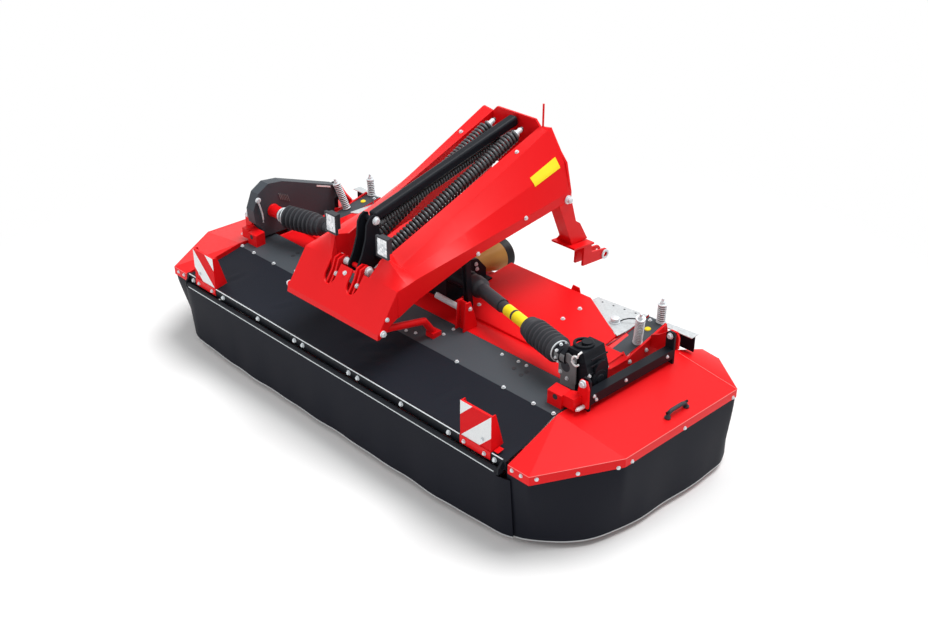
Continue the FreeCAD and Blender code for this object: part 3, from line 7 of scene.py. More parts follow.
# %% Load the frame
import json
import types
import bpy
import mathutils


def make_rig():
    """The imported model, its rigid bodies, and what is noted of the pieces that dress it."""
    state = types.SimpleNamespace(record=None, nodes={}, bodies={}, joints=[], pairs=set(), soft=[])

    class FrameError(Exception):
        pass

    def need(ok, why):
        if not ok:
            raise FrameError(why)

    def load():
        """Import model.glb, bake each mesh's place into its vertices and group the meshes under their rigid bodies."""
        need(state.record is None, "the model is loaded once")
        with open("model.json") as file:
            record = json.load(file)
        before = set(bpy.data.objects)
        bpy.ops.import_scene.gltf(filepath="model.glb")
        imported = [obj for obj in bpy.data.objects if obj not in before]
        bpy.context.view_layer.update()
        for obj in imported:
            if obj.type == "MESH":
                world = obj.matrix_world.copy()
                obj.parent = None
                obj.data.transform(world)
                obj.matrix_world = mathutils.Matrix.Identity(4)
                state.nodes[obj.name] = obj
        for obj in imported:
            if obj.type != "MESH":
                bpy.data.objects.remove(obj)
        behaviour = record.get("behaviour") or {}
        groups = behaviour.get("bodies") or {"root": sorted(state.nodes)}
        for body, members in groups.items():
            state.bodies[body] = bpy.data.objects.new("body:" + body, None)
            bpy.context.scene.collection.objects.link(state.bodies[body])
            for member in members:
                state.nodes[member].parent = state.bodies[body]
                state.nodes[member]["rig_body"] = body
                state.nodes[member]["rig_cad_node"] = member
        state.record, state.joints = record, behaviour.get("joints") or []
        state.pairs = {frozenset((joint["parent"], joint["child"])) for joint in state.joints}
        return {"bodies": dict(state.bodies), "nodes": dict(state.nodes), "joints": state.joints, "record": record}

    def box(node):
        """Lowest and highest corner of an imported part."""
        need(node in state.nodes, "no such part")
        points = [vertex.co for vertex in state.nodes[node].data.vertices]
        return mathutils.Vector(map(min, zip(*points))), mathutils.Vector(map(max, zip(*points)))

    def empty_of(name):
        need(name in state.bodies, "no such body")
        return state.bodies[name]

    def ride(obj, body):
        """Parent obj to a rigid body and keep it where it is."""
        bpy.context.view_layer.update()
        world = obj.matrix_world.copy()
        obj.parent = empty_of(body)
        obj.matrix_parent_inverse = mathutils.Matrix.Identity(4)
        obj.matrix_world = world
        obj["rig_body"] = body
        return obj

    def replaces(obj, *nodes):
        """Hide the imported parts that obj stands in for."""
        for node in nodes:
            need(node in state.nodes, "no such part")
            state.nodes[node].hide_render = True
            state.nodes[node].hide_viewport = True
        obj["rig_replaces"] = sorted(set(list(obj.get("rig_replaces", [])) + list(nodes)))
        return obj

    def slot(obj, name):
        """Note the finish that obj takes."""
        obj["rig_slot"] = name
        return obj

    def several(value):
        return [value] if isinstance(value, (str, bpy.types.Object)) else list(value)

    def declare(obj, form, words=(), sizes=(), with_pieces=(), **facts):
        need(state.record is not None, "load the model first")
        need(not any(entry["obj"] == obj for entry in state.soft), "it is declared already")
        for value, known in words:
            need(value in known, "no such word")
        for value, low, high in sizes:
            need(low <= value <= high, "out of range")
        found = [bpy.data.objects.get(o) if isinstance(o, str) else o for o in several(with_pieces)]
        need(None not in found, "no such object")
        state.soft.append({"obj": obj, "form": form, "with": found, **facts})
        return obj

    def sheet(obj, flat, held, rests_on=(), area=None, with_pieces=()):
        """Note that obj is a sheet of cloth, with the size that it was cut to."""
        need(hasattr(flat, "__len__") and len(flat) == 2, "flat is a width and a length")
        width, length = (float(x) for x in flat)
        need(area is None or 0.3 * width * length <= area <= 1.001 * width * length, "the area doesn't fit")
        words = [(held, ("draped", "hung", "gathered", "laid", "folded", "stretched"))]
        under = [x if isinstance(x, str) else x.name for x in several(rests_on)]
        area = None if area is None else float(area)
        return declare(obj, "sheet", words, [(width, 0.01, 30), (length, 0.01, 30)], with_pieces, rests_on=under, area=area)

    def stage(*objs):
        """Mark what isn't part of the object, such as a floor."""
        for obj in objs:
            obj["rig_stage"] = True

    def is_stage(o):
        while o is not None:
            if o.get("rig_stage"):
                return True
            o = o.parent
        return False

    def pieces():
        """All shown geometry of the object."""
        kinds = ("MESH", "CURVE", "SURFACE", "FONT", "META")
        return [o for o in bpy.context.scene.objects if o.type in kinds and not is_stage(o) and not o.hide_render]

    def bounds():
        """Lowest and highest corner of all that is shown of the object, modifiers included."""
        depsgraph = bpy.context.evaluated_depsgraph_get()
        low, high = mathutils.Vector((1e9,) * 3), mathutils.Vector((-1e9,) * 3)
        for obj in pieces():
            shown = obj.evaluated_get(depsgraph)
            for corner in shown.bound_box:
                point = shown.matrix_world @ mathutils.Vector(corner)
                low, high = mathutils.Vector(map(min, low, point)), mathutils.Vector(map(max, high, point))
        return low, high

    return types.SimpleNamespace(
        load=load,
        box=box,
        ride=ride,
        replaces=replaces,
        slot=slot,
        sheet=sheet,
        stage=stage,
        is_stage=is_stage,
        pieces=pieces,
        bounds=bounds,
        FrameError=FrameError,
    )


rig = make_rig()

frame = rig.load()

import json
import math

import bmesh
import bpy
from mathutils import Matrix, Vector
from mathutils.bvhtree import BVHTree

CAD_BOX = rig.bounds()
RECORD = frame["record"]
BODY_OF = {node: body for body, nodes in RECORD["behaviour"]["bodies"].items() for node in nodes}
SLOT_OF = {item["node"]: item["material_slot"] for item in RECORD["subparts"]}
SIDES = ((1, "right"), (-1, "left"))
print(len(BODY_OF), "CAD pieces on", len(set(BODY_OF.values())), "bodies")

# %% [markdown]
# A maker measures a machine like this from its front bar: so far back, so far across, so high
# above the floor, in millimetres. `spot` turns such a place into Blender's metres. The front
# bar's own place is read from the frame, so the lesson follows the CAD model if it moves.

# %% Places in the machine
MM = 0.001
FRONT_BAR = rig.box("warning_boards")[0][1]


def spot(across, place, height):
    """A point of the machine from millimetres across, behind the front bar and above the floor."""
    return Vector((across * MM, FRONT_BAR + place * MM, height * MM))


print("front bar at y =", round(FRONT_BAR, 4))

# %% [markdown]
# Three steps come back all through the lesson. `in_scene` puts a mesh, a camera or a light into
# the scene as an object. `baked` takes an object whose modifiers shape it, and keeps only the
# plain mesh that they make, because the finished pieces carry no live modifiers. `joined` makes
# one mesh of several that share a finish.

# %% Objects and plain meshes
def in_scene(name, data):
    thing = bpy.data.objects.new(name, data)
    bpy.context.scene.collection.objects.link(thing)
    return thing


def baked(thing):
    graph = bpy.context.evaluated_depsgraph_get()
    mesh = bpy.data.meshes.new_from_object(thing.evaluated_get(graph))
    bpy.data.objects.remove(thing)
    return mesh


def joined(*meshes):
    shape = bmesh.new()
    for mesh in meshes:
        shape.from_mesh(mesh)
    result = bpy.data.meshes.new("joined")
    shape.to_mesh(result)
    shape.free()
    return result


print("objects in the scene:", len(bpy.context.scene.collection.all_objects))

# %% [markdown]
# The camera stands high at the machine's front right corner. The stage is one pale floor.
# A real studio hides the horizon with a paper sweep. Here the camera looks down far enough that
# the floor fills the view, so a lift in brightness that only the camera and reflections see
# makes it white and still keeps the soft shadow under the machine.

# %% Camera
TURN, TIP = math.radians(46.3), math.radians(28.8)
LENS = 46.7
camera_data = bpy.data.cameras.new("camera")
camera_data.lens = LENS
camera_data.sensor_width = 36.0
camera = in_scene("camera", camera_data)
look = Vector((-math.cos(TIP) * math.sin(TURN), math.cos(TIP) * math.cos(TURN), -math.sin(TIP)))
camera.location = (3.9041, -3.5845, 3.2302)
camera.rotation_euler = look.to_track_quat("-Z", "Y").to_euler()
bpy.context.scene.camera = camera
bpy.context.scene.view_settings.view_transform = "Standard"
print("camera", LENS, "mm")

# %% [markdown]
# Finishes and repeated shapes are both built from nodes. All of them come from one function,
# `add_node`, which makes a node, gives it its settings and then its inputs. An input may get a
# plain value, a colour or a link, and `feed` tells them apart.

# %% One way to add a node
def feed(tree, slot, value):
    """Gives an input a link, a colour or a plain value."""
    if isinstance(value, Wire):
        tree.links.new(value.socket, slot)
    elif slot.type == "RGBA":
        slot.default_value = (*value[:3], 1.0)
    else:
        slot.default_value = value


def add_node(tree, kind, output=0, inputs=(), **settings):
    """Adds a node, gives it its settings first and then its inputs, and returns one output."""
    node = tree.nodes.new(kind)
    for name, value in settings.items():
        setattr(node, name, value)
    for key, value in dict(inputs).items():
        feed(tree, node.inputs[key], value)
    return Wire(tree, node.outputs[output]) if node.outputs else None


print("nodes ready")

# %% [markdown]
# A sum typed as a chain of boxes is slow and hard to read. So `Wire` wraps one output, and
# Python's own signs add the Math nodes: + - * / % and comparisons as usual, | for the larger of
# two and abs() for the size. The reflected forms make 1 - mask work as well as mask - 1.

# %% Wires that do sums
class Wire:
    """An output socket that can be used in sums with numbers and other wires."""

    def __init__(self, tree, socket):
        self.tree = tree
        self.socket = socket

    def math(self, operation, first, second=0.0):
        return add_node(self.tree, "ShaderNodeMath", 0, {0: first, 1: second}, operation=operation)

    def __add__(self, other):
        return self.math("ADD", self, other)

    def __sub__(self, other):
        return self.math("SUBTRACT", self, other)

    def __rsub__(self, other):
        return self.math("SUBTRACT", other, self)

    def __mul__(self, other):
        return self.math("MULTIPLY", self, other)

    def __truediv__(self, other):
        return self.math("DIVIDE", self, other)

    def __rtruediv__(self, other):
        return self.math("DIVIDE", other, self)

    def __mod__(self, other):
        return self.math("FLOORED_MODULO", self, other)

    def __rmod__(self, other):
        return self.math("FLOORED_MODULO", other, self)

    def __gt__(self, other):
        return self.math("GREATER_THAN", self, other)

    def __lt__(self, other):
        return self.math("LESS_THAN", self, other)

    def __or__(self, other):
        return self.math("MAXIMUM", self, other)

    def __abs__(self):
        return self.math("ABSOLUTE", self)

    __radd__ = __add__
    __rmul__ = __mul__
    __ror__ = __or__


print("sums ready")

# %% [markdown]
# `Finish` makes one material. Every pattern reads the object's own coordinates, which are the
# machine's, so it is as large as on the real thing and stays put when a piece moves. Patterns
# feed only the colour, the roughness and the bump. All else is one number for the whole piece.

# %% Finishes from nodes
class Finish:
    """A procedural material on a piece's own object coordinates, in metres."""

    def __init__(self, name, roughness=0.5, metallic=0.0, coat=0.0, sheen=0.25):
        self.material = bpy.data.materials.new(name)
        self.material.use_nodes = True
        self.tree = self.material.node_tree
        self.shader = self.tree.nodes["Principled BSDF"]
        self.set(Roughness=roughness, Metallic=metallic, Specular_IOR_Level=sheen,
                 Coat_Weight=coat, Coat_Roughness=0.12)
        self.place = self.node("ShaderNodeTexCoord", "Object")

    def set(self, **inputs):
        for name, value in inputs.items():
            feed(self.tree, self.shader.inputs[name.replace("_", " ")], value)

    def node(self, kind, output=0, inputs=(), **settings):
        return add_node(self.tree, kind, output, inputs, **settings)

    def axis(self, letter):
        """One coordinate of the machine, in metres."""
        return self.node("ShaderNodeSeparateXYZ", letter, {"Vector": self.place})

    def noise(self, scale, detail=2.0, stretch=(1, 1, 1)):
        where = self.node("ShaderNodeMapping", 0, {"Vector": self.place, "Scale": stretch})
        return self.node("ShaderNodeTexNoise", 0,
                         {"Vector": where, "Scale": scale, "Detail": detail})

    def cell_tones(self, scale, randomness=1.0, **settings):
        """A pattern of cells, each with a tone of its own from 0 to 1."""
        cells = self.node("ShaderNodeTexVoronoi", "Color", {
            "Vector": self.place, "Scale": scale, "Randomness": randomness}, **settings)
        return self.node("ShaderNodeSeparateColor", 0, {"Color": cells})

    def blend(self, mask, low, high):
        """Two colours mixed by a mask."""
        return self.node("ShaderNodeMix", 2, {0: mask, 6: low, 7: high}, data_type="RGBA")

    def tones(self, mask, colour, low, high):
        """One colour that drifts by a mask between two shares of itself."""
        return self.blend(mask, [part * low for part in colour], [part * high for part in colour])

    def bump(self, height, distance, strength=1.0):
        self.set(Normal=self.node("ShaderNodeBump", 0, {
            "Height": height, "Distance": distance, "Strength": strength}))


print("finishes ready")

# %% [markdown]
# Powder paint on sheet steel is glossy but never flat: it has a fine orange peel, and its tone
# drifts a little from panel to panel. One function gives the red, the charcoal and the greys,
# because on the machine they differ only in pigment and gloss.

# %% Painted steel
def paint(name, colour, roughness, peel=0.00006, sheen=0.25):
    finish = Finish(name, sheen=sheen)
    drift, grain = finish.noise(2.2, 3.0), finish.noise(60.0)
    finish.set(Base_Color=finish.tones(drift, colour, 0.93, 1.06),
               Roughness=roughness - 0.05 + grain * 0.1)
    finish.bump(finish.noise(420.0, 1.0), peel)
    return finish.material


red = paint("red_paint", (0.80, 0.006, 0.009), 0.36, sheen=0.16)
charcoal = paint("charcoal_paint", (0.0100, 0.0118, 0.0160), 0.38, sheen=0.10)
housing_grey = paint("housing_grey", (0.058, 0.068, 0.080), 0.48, sheen=0.16)
deck_grey = paint("deck_grey", (0.056, 0.066, 0.077), 0.52, 0.00012, 0.2)
print("paints:", red.name, charcoal.name, housing_grey.name, deck_grey.name)

# %% [markdown]
# Galvanised plate shows crystals of zinc a few millimetres wide, each a little brighter or
# duller than its neighbour. Bright zinc on bolts and springs is smoother. The knives and discs
# are bare steel with rubbed streaks.

# %% Bare metals
def spangle(name, colour, crystal, roughness):
    """Galvanised plate, with the width of its crystals in metres."""
    finish = Finish(name, metallic=0.55)
    shade = finish.cell_tones(1 / crystal)
    finish.set(Base_Color=finish.tones(shade, colour, 0.86, 1.0),
               Roughness=roughness + shade * 0.16)
    return finish.material


def bright_metal(name, colour, roughness, streak=(1, 1, 1), wear=0.25, metallic=0.85):
    finish = Finish(name, metallic=metallic)
    rubbed = finish.noise(90.0, 3.0, streak)
    finish.set(Base_Color=finish.tones(rubbed, colour, 1 - wear, 1.0),
               Roughness=roughness + rubbed * 0.2)
    finish.bump(rubbed, 0.0001)
    return finish.material


galvanised = spangle("galvanised_plate", (0.63, 0.665, 0.68), 0.007, 0.34)
zinc = bright_metal("bright_zinc", (0.80, 0.85, 0.88), 0.30, wear=0.18, metallic=0.18)
bare_steel = bright_metal("bare_steel", (0.30, 0.29, 0.28), 0.3, (1, 8, 8), 0.45)
spring_black = bright_metal("spring_black", (0.11, 0.113, 0.12), 0.26, metallic=0.5)
print("metals:", galvanised.name, zinc.name, bare_steel.name, spring_black.name)

# %% [markdown]
# The curtains are rubber on a cloth core. Rubber is almost black, dull, and shows faint clouds
# where it was handled. A pale band along its hem is a painted highlight for the cut edge catching
# light. The soft top is coated cloth: its plain weave is about a millimetre wide, too fine for
# geometry, so two crossed wave bands feed a bump.

# %% Rubber and coated cloth
HEM_LINE = 0.0365
# The pale grey under HEM_LINE is a painted highlight for the cut hem catching light.
PAINTED_HEM_HIGHLIGHT = (0.56, 0.57, 0.58)
WEAVE = 0.0016

rubber = Finish("curtain_rubber", sheen=0.1)
clouds = rubber.noise(3.0, 4.0)
body_black = rubber.tones(clouds, (0.0063, 0.0071, 0.0118), 1.0, 1.5)
# Below HEM_LINE the rubber takes the painted hem highlight instead of its black.
rubber.set(Base_Color=rubber.blend(rubber.axis("Z") < HEM_LINE, body_black, PAINTED_HEM_HIGHLIGHT),
           Roughness=0.5 + clouds * 0.14)
rubber.bump(rubber.noise(300.0), 0.00015)
curtain_rubber = rubber.material

cloth = Finish("top_cloth", sheen=0.1)
across, along = (cloth.axis(letter) % WEAVE / WEAVE for letter in "XY")
clouds = cloth.noise(2.5, 4.0)
cloth.set(Base_Color=cloth.tones(clouds, (0.0086, 0.0102, 0.0155), 1.0, 1.45),
          Roughness=0.56 + clouds * 0.12)
cloth.bump((across - 0.5) * (along - 0.5), 0.0004, 0.6)
top_cloth = cloth.material
print("soft finishes:", curtain_rubber.name, top_cloth.name)

# %% [markdown]
# Moulded pieces are black plastic guards and bellows, iron castings, plain plates in white and
# yellow, and the tan cone round the drive stub, which has a black rim. They all have the same
# fine grain from the mould, so one function gives the plain ones.

# %% Plastics and plates
def moulded(name, colour, roughness=0.5):
    finish = Finish(name)
    cloud = finish.noise(8.0, 3.0)
    finish.set(Base_Color=finish.tones(cloud, colour, 1.0, 1.25),
               Roughness=roughness - 0.04 + cloud * 0.1)
    finish.bump(finish.noise(500.0, 1.0), 0.00008)
    return finish.material


black_plastic = moulded("black_plastic", (0.033, 0.035, 0.041))
cast_grey = moulded("cast_grey", (0.15, 0.155, 0.16), 0.42)
yellow_plate = moulded("yellow_plate", (0.86, 0.68, 0.02), 0.35)
white_plate = moulded("white_plate", (0.80, 0.80, 0.80), 0.35)

RIM_PLACE = 1118
cone = Finish("guard_cone", roughness=0.45)
cloud = cone.noise(14.0, 3.0)
tan = cone.blend(cloud, (0.46, 0.275, 0.066), (0.58, 0.355, 0.092))
cone.set(Base_Color=cone.blend(cone.axis("Y") > FRONT_BAR + RIM_PLACE * MM, tan,
                               (0.012, 0.013, 0.015)),
         Roughness=0.42 + cloud * 0.1)
cone.bump(cone.noise(300.0, 1.0), 0.0001)
guard_cone = cone.material
print("plastics ready:", black_plastic.name, guard_cone.name)

# %% [markdown]
# The boards at both ends carry red and white reflective stripes. They fall outwards at the
# board's own diagonal from its inner top corner, so each stripe is a band of a sum of two
# lengths, and the same sum serves both boards because it uses the distance from the middle.

# %% Striped boards
BOARD_INNER, BOARD_FOOT = 0.903, 0.415
BOARD_WIDE, BOARD_TALL = 0.180, 0.171
STRIPE_PITCH, STRIPE_START = 1.2, 0.2

board = Finish("board_stripes", sheen=0.06)
outward = abs(board.axis("X")) - BOARD_INNER
downward = BOARD_FOOT + BOARD_TALL - board.axis("Z")
fall = outward / BOARD_WIDE + downward / BOARD_TALL
beads = board.node("ShaderNodeTexVoronoi", 0, {"Vector": board.place, "Scale": 260.0})
is_white = (fall + STRIPE_START) % STRIPE_PITCH < STRIPE_PITCH / 2
white = board.blend(beads, (0.86, 0.88, 0.88), (0.76, 0.78, 0.79))
scarlet = board.blend(beads, (0.66, 0.008, 0.012), (0.74, 0.010, 0.014))
board.set(Base_Color=board.blend(is_white, scarlet, white), Roughness=0.45 + beads * 0.1)
board_stripes = board.material
print("stripes", round(BOARD_WIDE * STRIPE_PITCH / 2, 3), "m wide across the board")

# %% [markdown]
# Each lamp has a moulded housing and a square lens over a bright reflector. Small square
# facets in the reflector make its sparkle, so the lens finish is a grid of cells that differ
# in tilt, and in tone from dark grey to near white as painted glints.

# %% Lamp lens
glass = Finish("lamp_lens", metallic=0.5, coat=1.0)
# The cells' tones are painted glints; their tilt comes from the bump.
tone = glass.cell_tones(90.0, 0.25, distance="CHEBYCHEV")
glass.set(Base_Color=glass.blend(tone, (0.42, 0.45, 0.48), (0.92, 0.94, 0.96)),
          Roughness=0.12 + tone * 0.2)
glass.bump(tone, 0.002, 0.5)
lens = glass.material
print("lens ready:", lens.name)

# %% [markdown]
# The CAD model names a material slot for each piece, and a slot gets one finish. A few pieces
# take another finish than their slot, and on four of them a second finish covers some faces.
# Those faces are found by where their middle lies and which way they face.

# %% Which finish goes where
FINISH_OF_SLOT = {
    "red_paint": red, "black_paint": charcoal, "grey_deck": deck_grey, "zinc": zinc,
    "rubber": curtain_rubber, "fabric": top_cloth, "spring_steel": spring_black,
    "tan_guard": guard_cone, "bare_steel": bare_steel, "lamp": black_plastic, "board": red}
FINISH_OF_NODE = {
    "corner_plates": galvanised, "belt_cover": housing_grey, "drive_shaft_left": black_plastic,
    "drive_shaft_right": black_plastic, "rotor_tines": charcoal, "vane_brackets": galvanised,
    "consoles": deck_grey}
BOARD_FACE, CASTING_FACE = FRONT_BAR + 0.001, FRONT_BAR + 0.4965
FLAP_TOP = 0.5405
# node: the second finish, and the test that picks its faces
ZONES = {
    "warning_boards": (board_stripes, lambda middle, way: way.y < -0.9 and middle.y < BOARD_FACE),
    "consoles": (red, lambda middle, way: abs(way.z) < 0.7),
    "corner_plates": (curtain_rubber, lambda middle, way: middle.z < FLAP_TOP),
    "end_gearbox": (cast_grey, lambda middle, way: way.y < -0.9 and middle.y < CASTING_FACE)}


def finish_of(node):
    return FINISH_OF_NODE.get(node, FINISH_OF_SLOT[SLOT_OF[node]])


print(len(FINISH_OF_SLOT), "slots,", len(FINISH_OF_NODE), "exceptions,", len(ZONES), "with zones")

# %% [markdown]
# A CAD mesh has knife edges, and a real folded sheet never does: its edges catch light as thin
# bright lines. A Bevel rounds every edge that turns by more than a small angle, and weighted
# normals keep the flats flat. `add_piece` then sets a finished mesh on its body.

# %% Round the edges
SHARP = math.radians(32)


def softened(mesh, width):
    """Rounds the sharp edges of a mesh by a width in millimetres."""
    scratch = in_scene("scratch", mesh)
    mesh.shade_smooth()
    mesh.set_sharp_from_angle(angle=SHARP)
    if width:
        bevel = scratch.modifiers.new("Bevel", "BEVEL")
        bevel.width = width * MM
        bevel.segments = 2
        bevel.limit_method = "ANGLE"
        bevel.angle_limit = SHARP
        bevel.harden_normals = True
    scratch.modifiers.new("Weighted", "WEIGHTED_NORMAL").keep_sharp = True
    return baked(scratch)


def add_piece(name, mesh, body, *finishes, slot=None, instead_of=()):
    """Puts a finished mesh at the origin, gives it its finishes and sets it on its body."""
    mesh.name = name
    piece = in_scene(name, mesh)
    if finishes:
        mesh.materials.clear()
        for finish in finishes:
            mesh.materials.append(finish)
    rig.ride(piece, body)
    if slot:
        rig.slot(piece, slot)
    if instead_of:
        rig.replaces(piece, *instead_of)
    return piece


print("edges turn sharper than", round(math.degrees(SHARP)), "degrees")

# %% [markdown]
# Each rigid CAD piece gets a dressed copy that stands in its place. The copy's doubles are
# merged and its flat faces joined before its edges are rounded. The table gives each piece the
# radius that its gauge of steel would have.

# %% Dress the rigid pieces
MERGE_WITHIN = 0.00001
FLAT_WITHIN = math.radians(0.5)


def dress(node, width):
    shape = bmesh.new()
    shape.from_mesh(frame["nodes"][node].data)
    bmesh.ops.remove_doubles(shape, verts=shape.verts, dist=MERGE_WITHIN)
    bmesh.ops.dissolve_limit(shape, angle_limit=FLAT_WITHIN, verts=shape.verts, edges=shape.edges)
    mesh = bpy.data.meshes.new(node)
    shape.to_mesh(mesh)
    shape.free()
    mesh = softened(mesh, width)
    second, picks = ZONES.get(node, (None, None))
    add_piece(f"{node}_dressed", mesh, BODY_OF[node], *filter(None, (finish_of(node), second)),
              slot=SLOT_OF[node], instead_of=(node,))
    if second:
        for polygon in mesh.polygons:
            polygon.material_index = int(picks(polygon.center, polygon.normal))


# edge radius in millimetres: nodes
EDGE_RADIUS = (
    (1.5, ("cover_left", "cover_right", "nose_panel", "hood", "corner_plates", "deck_plate",
           "swath_vane_left", "swath_vane_right", "vane_brackets", "consoles", "warning_boards")),
    (2.5, ("arm_left", "arm_right", "front_frame", "cover_rail_left", "cover_rail_right",
           "cover_brackets_left", "cover_brackets_right", "hangers", "beam_brackets", "rocker",
           "headstock", "leg_left", "leg_right", "side_frame_left", "side_frame_right")),
    (4.0, ("main_beam", "belt_cover", "centre_gearbox", "work_lamps", "lower_links")),
    (7.0, ("end_gearbox",)),
    (11.0, ("centre_strut",)),
    (0.0, ("flap_bar", "pto_guard", "drive_shaft_left", "drive_shaft_right")))
dressed = []
for radius, nodes in EDGE_RADIUS:
    for node in nodes:
        dress(node, radius)
        dressed.append(node)
print(len(dressed), "pieces dressed")

# %% [markdown]
# Discs, knives, cutterbar, skids, rotor and tines are turned or forged and already have their
# real form. They keep their CAD meshes and take a finish, with smooth shading left to the CAD
# facets because they are small and mostly in shade.

# %% Finish what stays
SOFT_NODES = ["curtain_left", "curtain_right", "front_curtain", "fabric_top"]
COIL_NODES = ["float_springs", "upright_springs", "centring_springs"]
stays = [node for node in frame["nodes"] if node not in dressed + SOFT_NODES + COIL_NODES]
for node in stays:
    materials = frame["nodes"][node].data.materials
    materials.clear()
    materials.append(finish_of(node))
print(len(stays), "nodes keep their mesh")

# %% [markdown]
# Geometry Nodes make what repeats. A tree is a recipe with named inputs, run on a mesh by a
# modifier. `new_tree` starts one, `end_tree` closes it, and `grow` runs it. A tree has to end in
# a plain mesh with its finish on it, because instances don't leave Blender.

# %% Trees that grow shapes
def new_tree(name, sizes):
    """A tree that takes a mesh, named numbers and a finish. Returns it and its inputs."""
    tree = bpy.data.node_groups.new(name, "GeometryNodeTree")
    kinds = {"Geometry": "Geometry", **dict.fromkeys(sizes, "Float"), "Finish": "Material"}
    for label, kind in kinds.items():
        tree.interface.new_socket(label, in_out="INPUT", socket_type=f"NodeSocket{kind}")
    tree.interface.new_socket("Geometry", in_out="OUTPUT", socket_type="NodeSocketGeometry")
    return tree, {label: add_node(tree, "NodeGroupInput", label) for label in kinds}


def end_tree(tree, given, geometry, smooth):
    """Shades the shape, makes its instances real and gives it its finish."""
    shaded = add_node(tree, "GeometryNodeSetShadeSmooth", 0,
                      {"Geometry": geometry, "Shade Smooth": smooth})
    real = add_node(tree, "GeometryNodeRealizeInstances", 0, {"Geometry": shaded})
    coated = add_node(tree, "GeometryNodeSetMaterial", 0,
                      {"Geometry": real, "Material": given["Finish"]})
    add_node(tree, "NodeGroupOutput", inputs={0: coated})
    print(tree.name, "tree with", len(tree.nodes), "nodes")


def grow(tree, mesh, finish, sizes):
    """Runs a tree on a mesh and returns the result as a plain mesh."""
    holder = in_scene("holder", mesh)
    modifier = holder.modifiers.new("Grow", "NODES")
    modifier.node_group = tree
    wanted = {**sizes, "Finish": finish}
    for item in tree.interface.items_tree:
        if item.in_out == "INPUT" and item.name in wanted:
            modifier[item.identifier] = wanted[item.name]
    return baked(holder)


print("tree tools ready")

# %% [markdown]
# Coil springs hold the machine up, so they have to look wound. This tree winds a spiral curve
# and sweeps a wire along it. Its inputs are the numbers on a spring maker's card: turns, length,
# coil radius and wire radius. The coil grows along Z, and `wound` lays it between two points.

# %% A coil-winding tree
coil_tree, given = new_tree("coil", ("Turns", "Length", "Radius", "Wire"))
spiral = add_node(coil_tree, "GeometryNodeCurveSpiral", 0, {
    "Resolution": 18, "Rotations": given["Turns"], "Height": given["Length"],
    "Start Radius": given["Radius"], "End Radius": given["Radius"]})
profile = add_node(coil_tree, "GeometryNodeCurvePrimitiveCircle", 0,
                   {"Resolution": 8, "Radius": given["Wire"]})
sweep = add_node(coil_tree, "GeometryNodeCurveToMesh", 0,
                 {"Curve": spiral, "Profile Curve": profile, "Fill Caps": True})
end_tree(coil_tree, given, sweep, True)


def wound(low, high, outer, wire, turns, finish):
    """A coil between two points, with its outer and wire radius in millimetres."""
    mesh = grow(coil_tree, bpy.data.meshes.new("blank"), finish, {
        "Turns": float(turns), "Length": (high - low).length,
        "Radius": (outer - wire) * MM, "Wire": wire * MM})
    turn = (high - low).to_track_quat("Z", "X").to_matrix().to_4x4()
    mesh.transform(Matrix.Translation(low) @ turn)
    return mesh


# %% [markdown]
# Round rods, tubes, eyes and knobs are turned pieces, and plates are polygons with a thickness.
# To a mesh both are the same thing: rings of vertices with a skin between them. A ring of one
# vertex closes a form in a point.

# %% Rings and skins
def add_ring(bm, centre, turn, radius, sides):
    """A circle of vertices round a centre, or a single one where the radius is 0."""
    if radius <= 0:
        return [bm.verts.new(centre)]
    angles = [2 * math.pi * side / sides for side in range(sides)]
    return [bm.verts.new(centre + turn @ Vector((math.cos(angle), math.sin(angle), 0)) * radius)
            for angle in angles]


def add_skin(bm, rings, hollow=False):
    """Faces from ring to ring. The ends are closed, or joined to each other where it is hollow."""
    sides = max(len(ring) for ring in rings)
    for low, high in zip(rings, rings[1:] + rings[:1] if hollow else rings[1:]):
        for side in range(sides):
            after = (side + 1) % sides
            corners = list(dict.fromkeys((low[side % len(low)], low[after % len(low)],
                                          high[after % len(high)], high[side % len(high)])))
            if len(corners) > 2:
                bm.faces.new(corners)
    for ring in () if hollow else (rings[0], rings[-1]):
        if len(ring) > 1:
            bm.faces.new(ring)


print("rings and skins ready")

# %% [markdown]
# `Shape` gathers such forms in one mesh: a profile turned about a line, a bar along a few
# points, a polygon given thickness, or a box. A piece that stands on both ends of the machine
# is written once, and its side says whether it is mirrored.

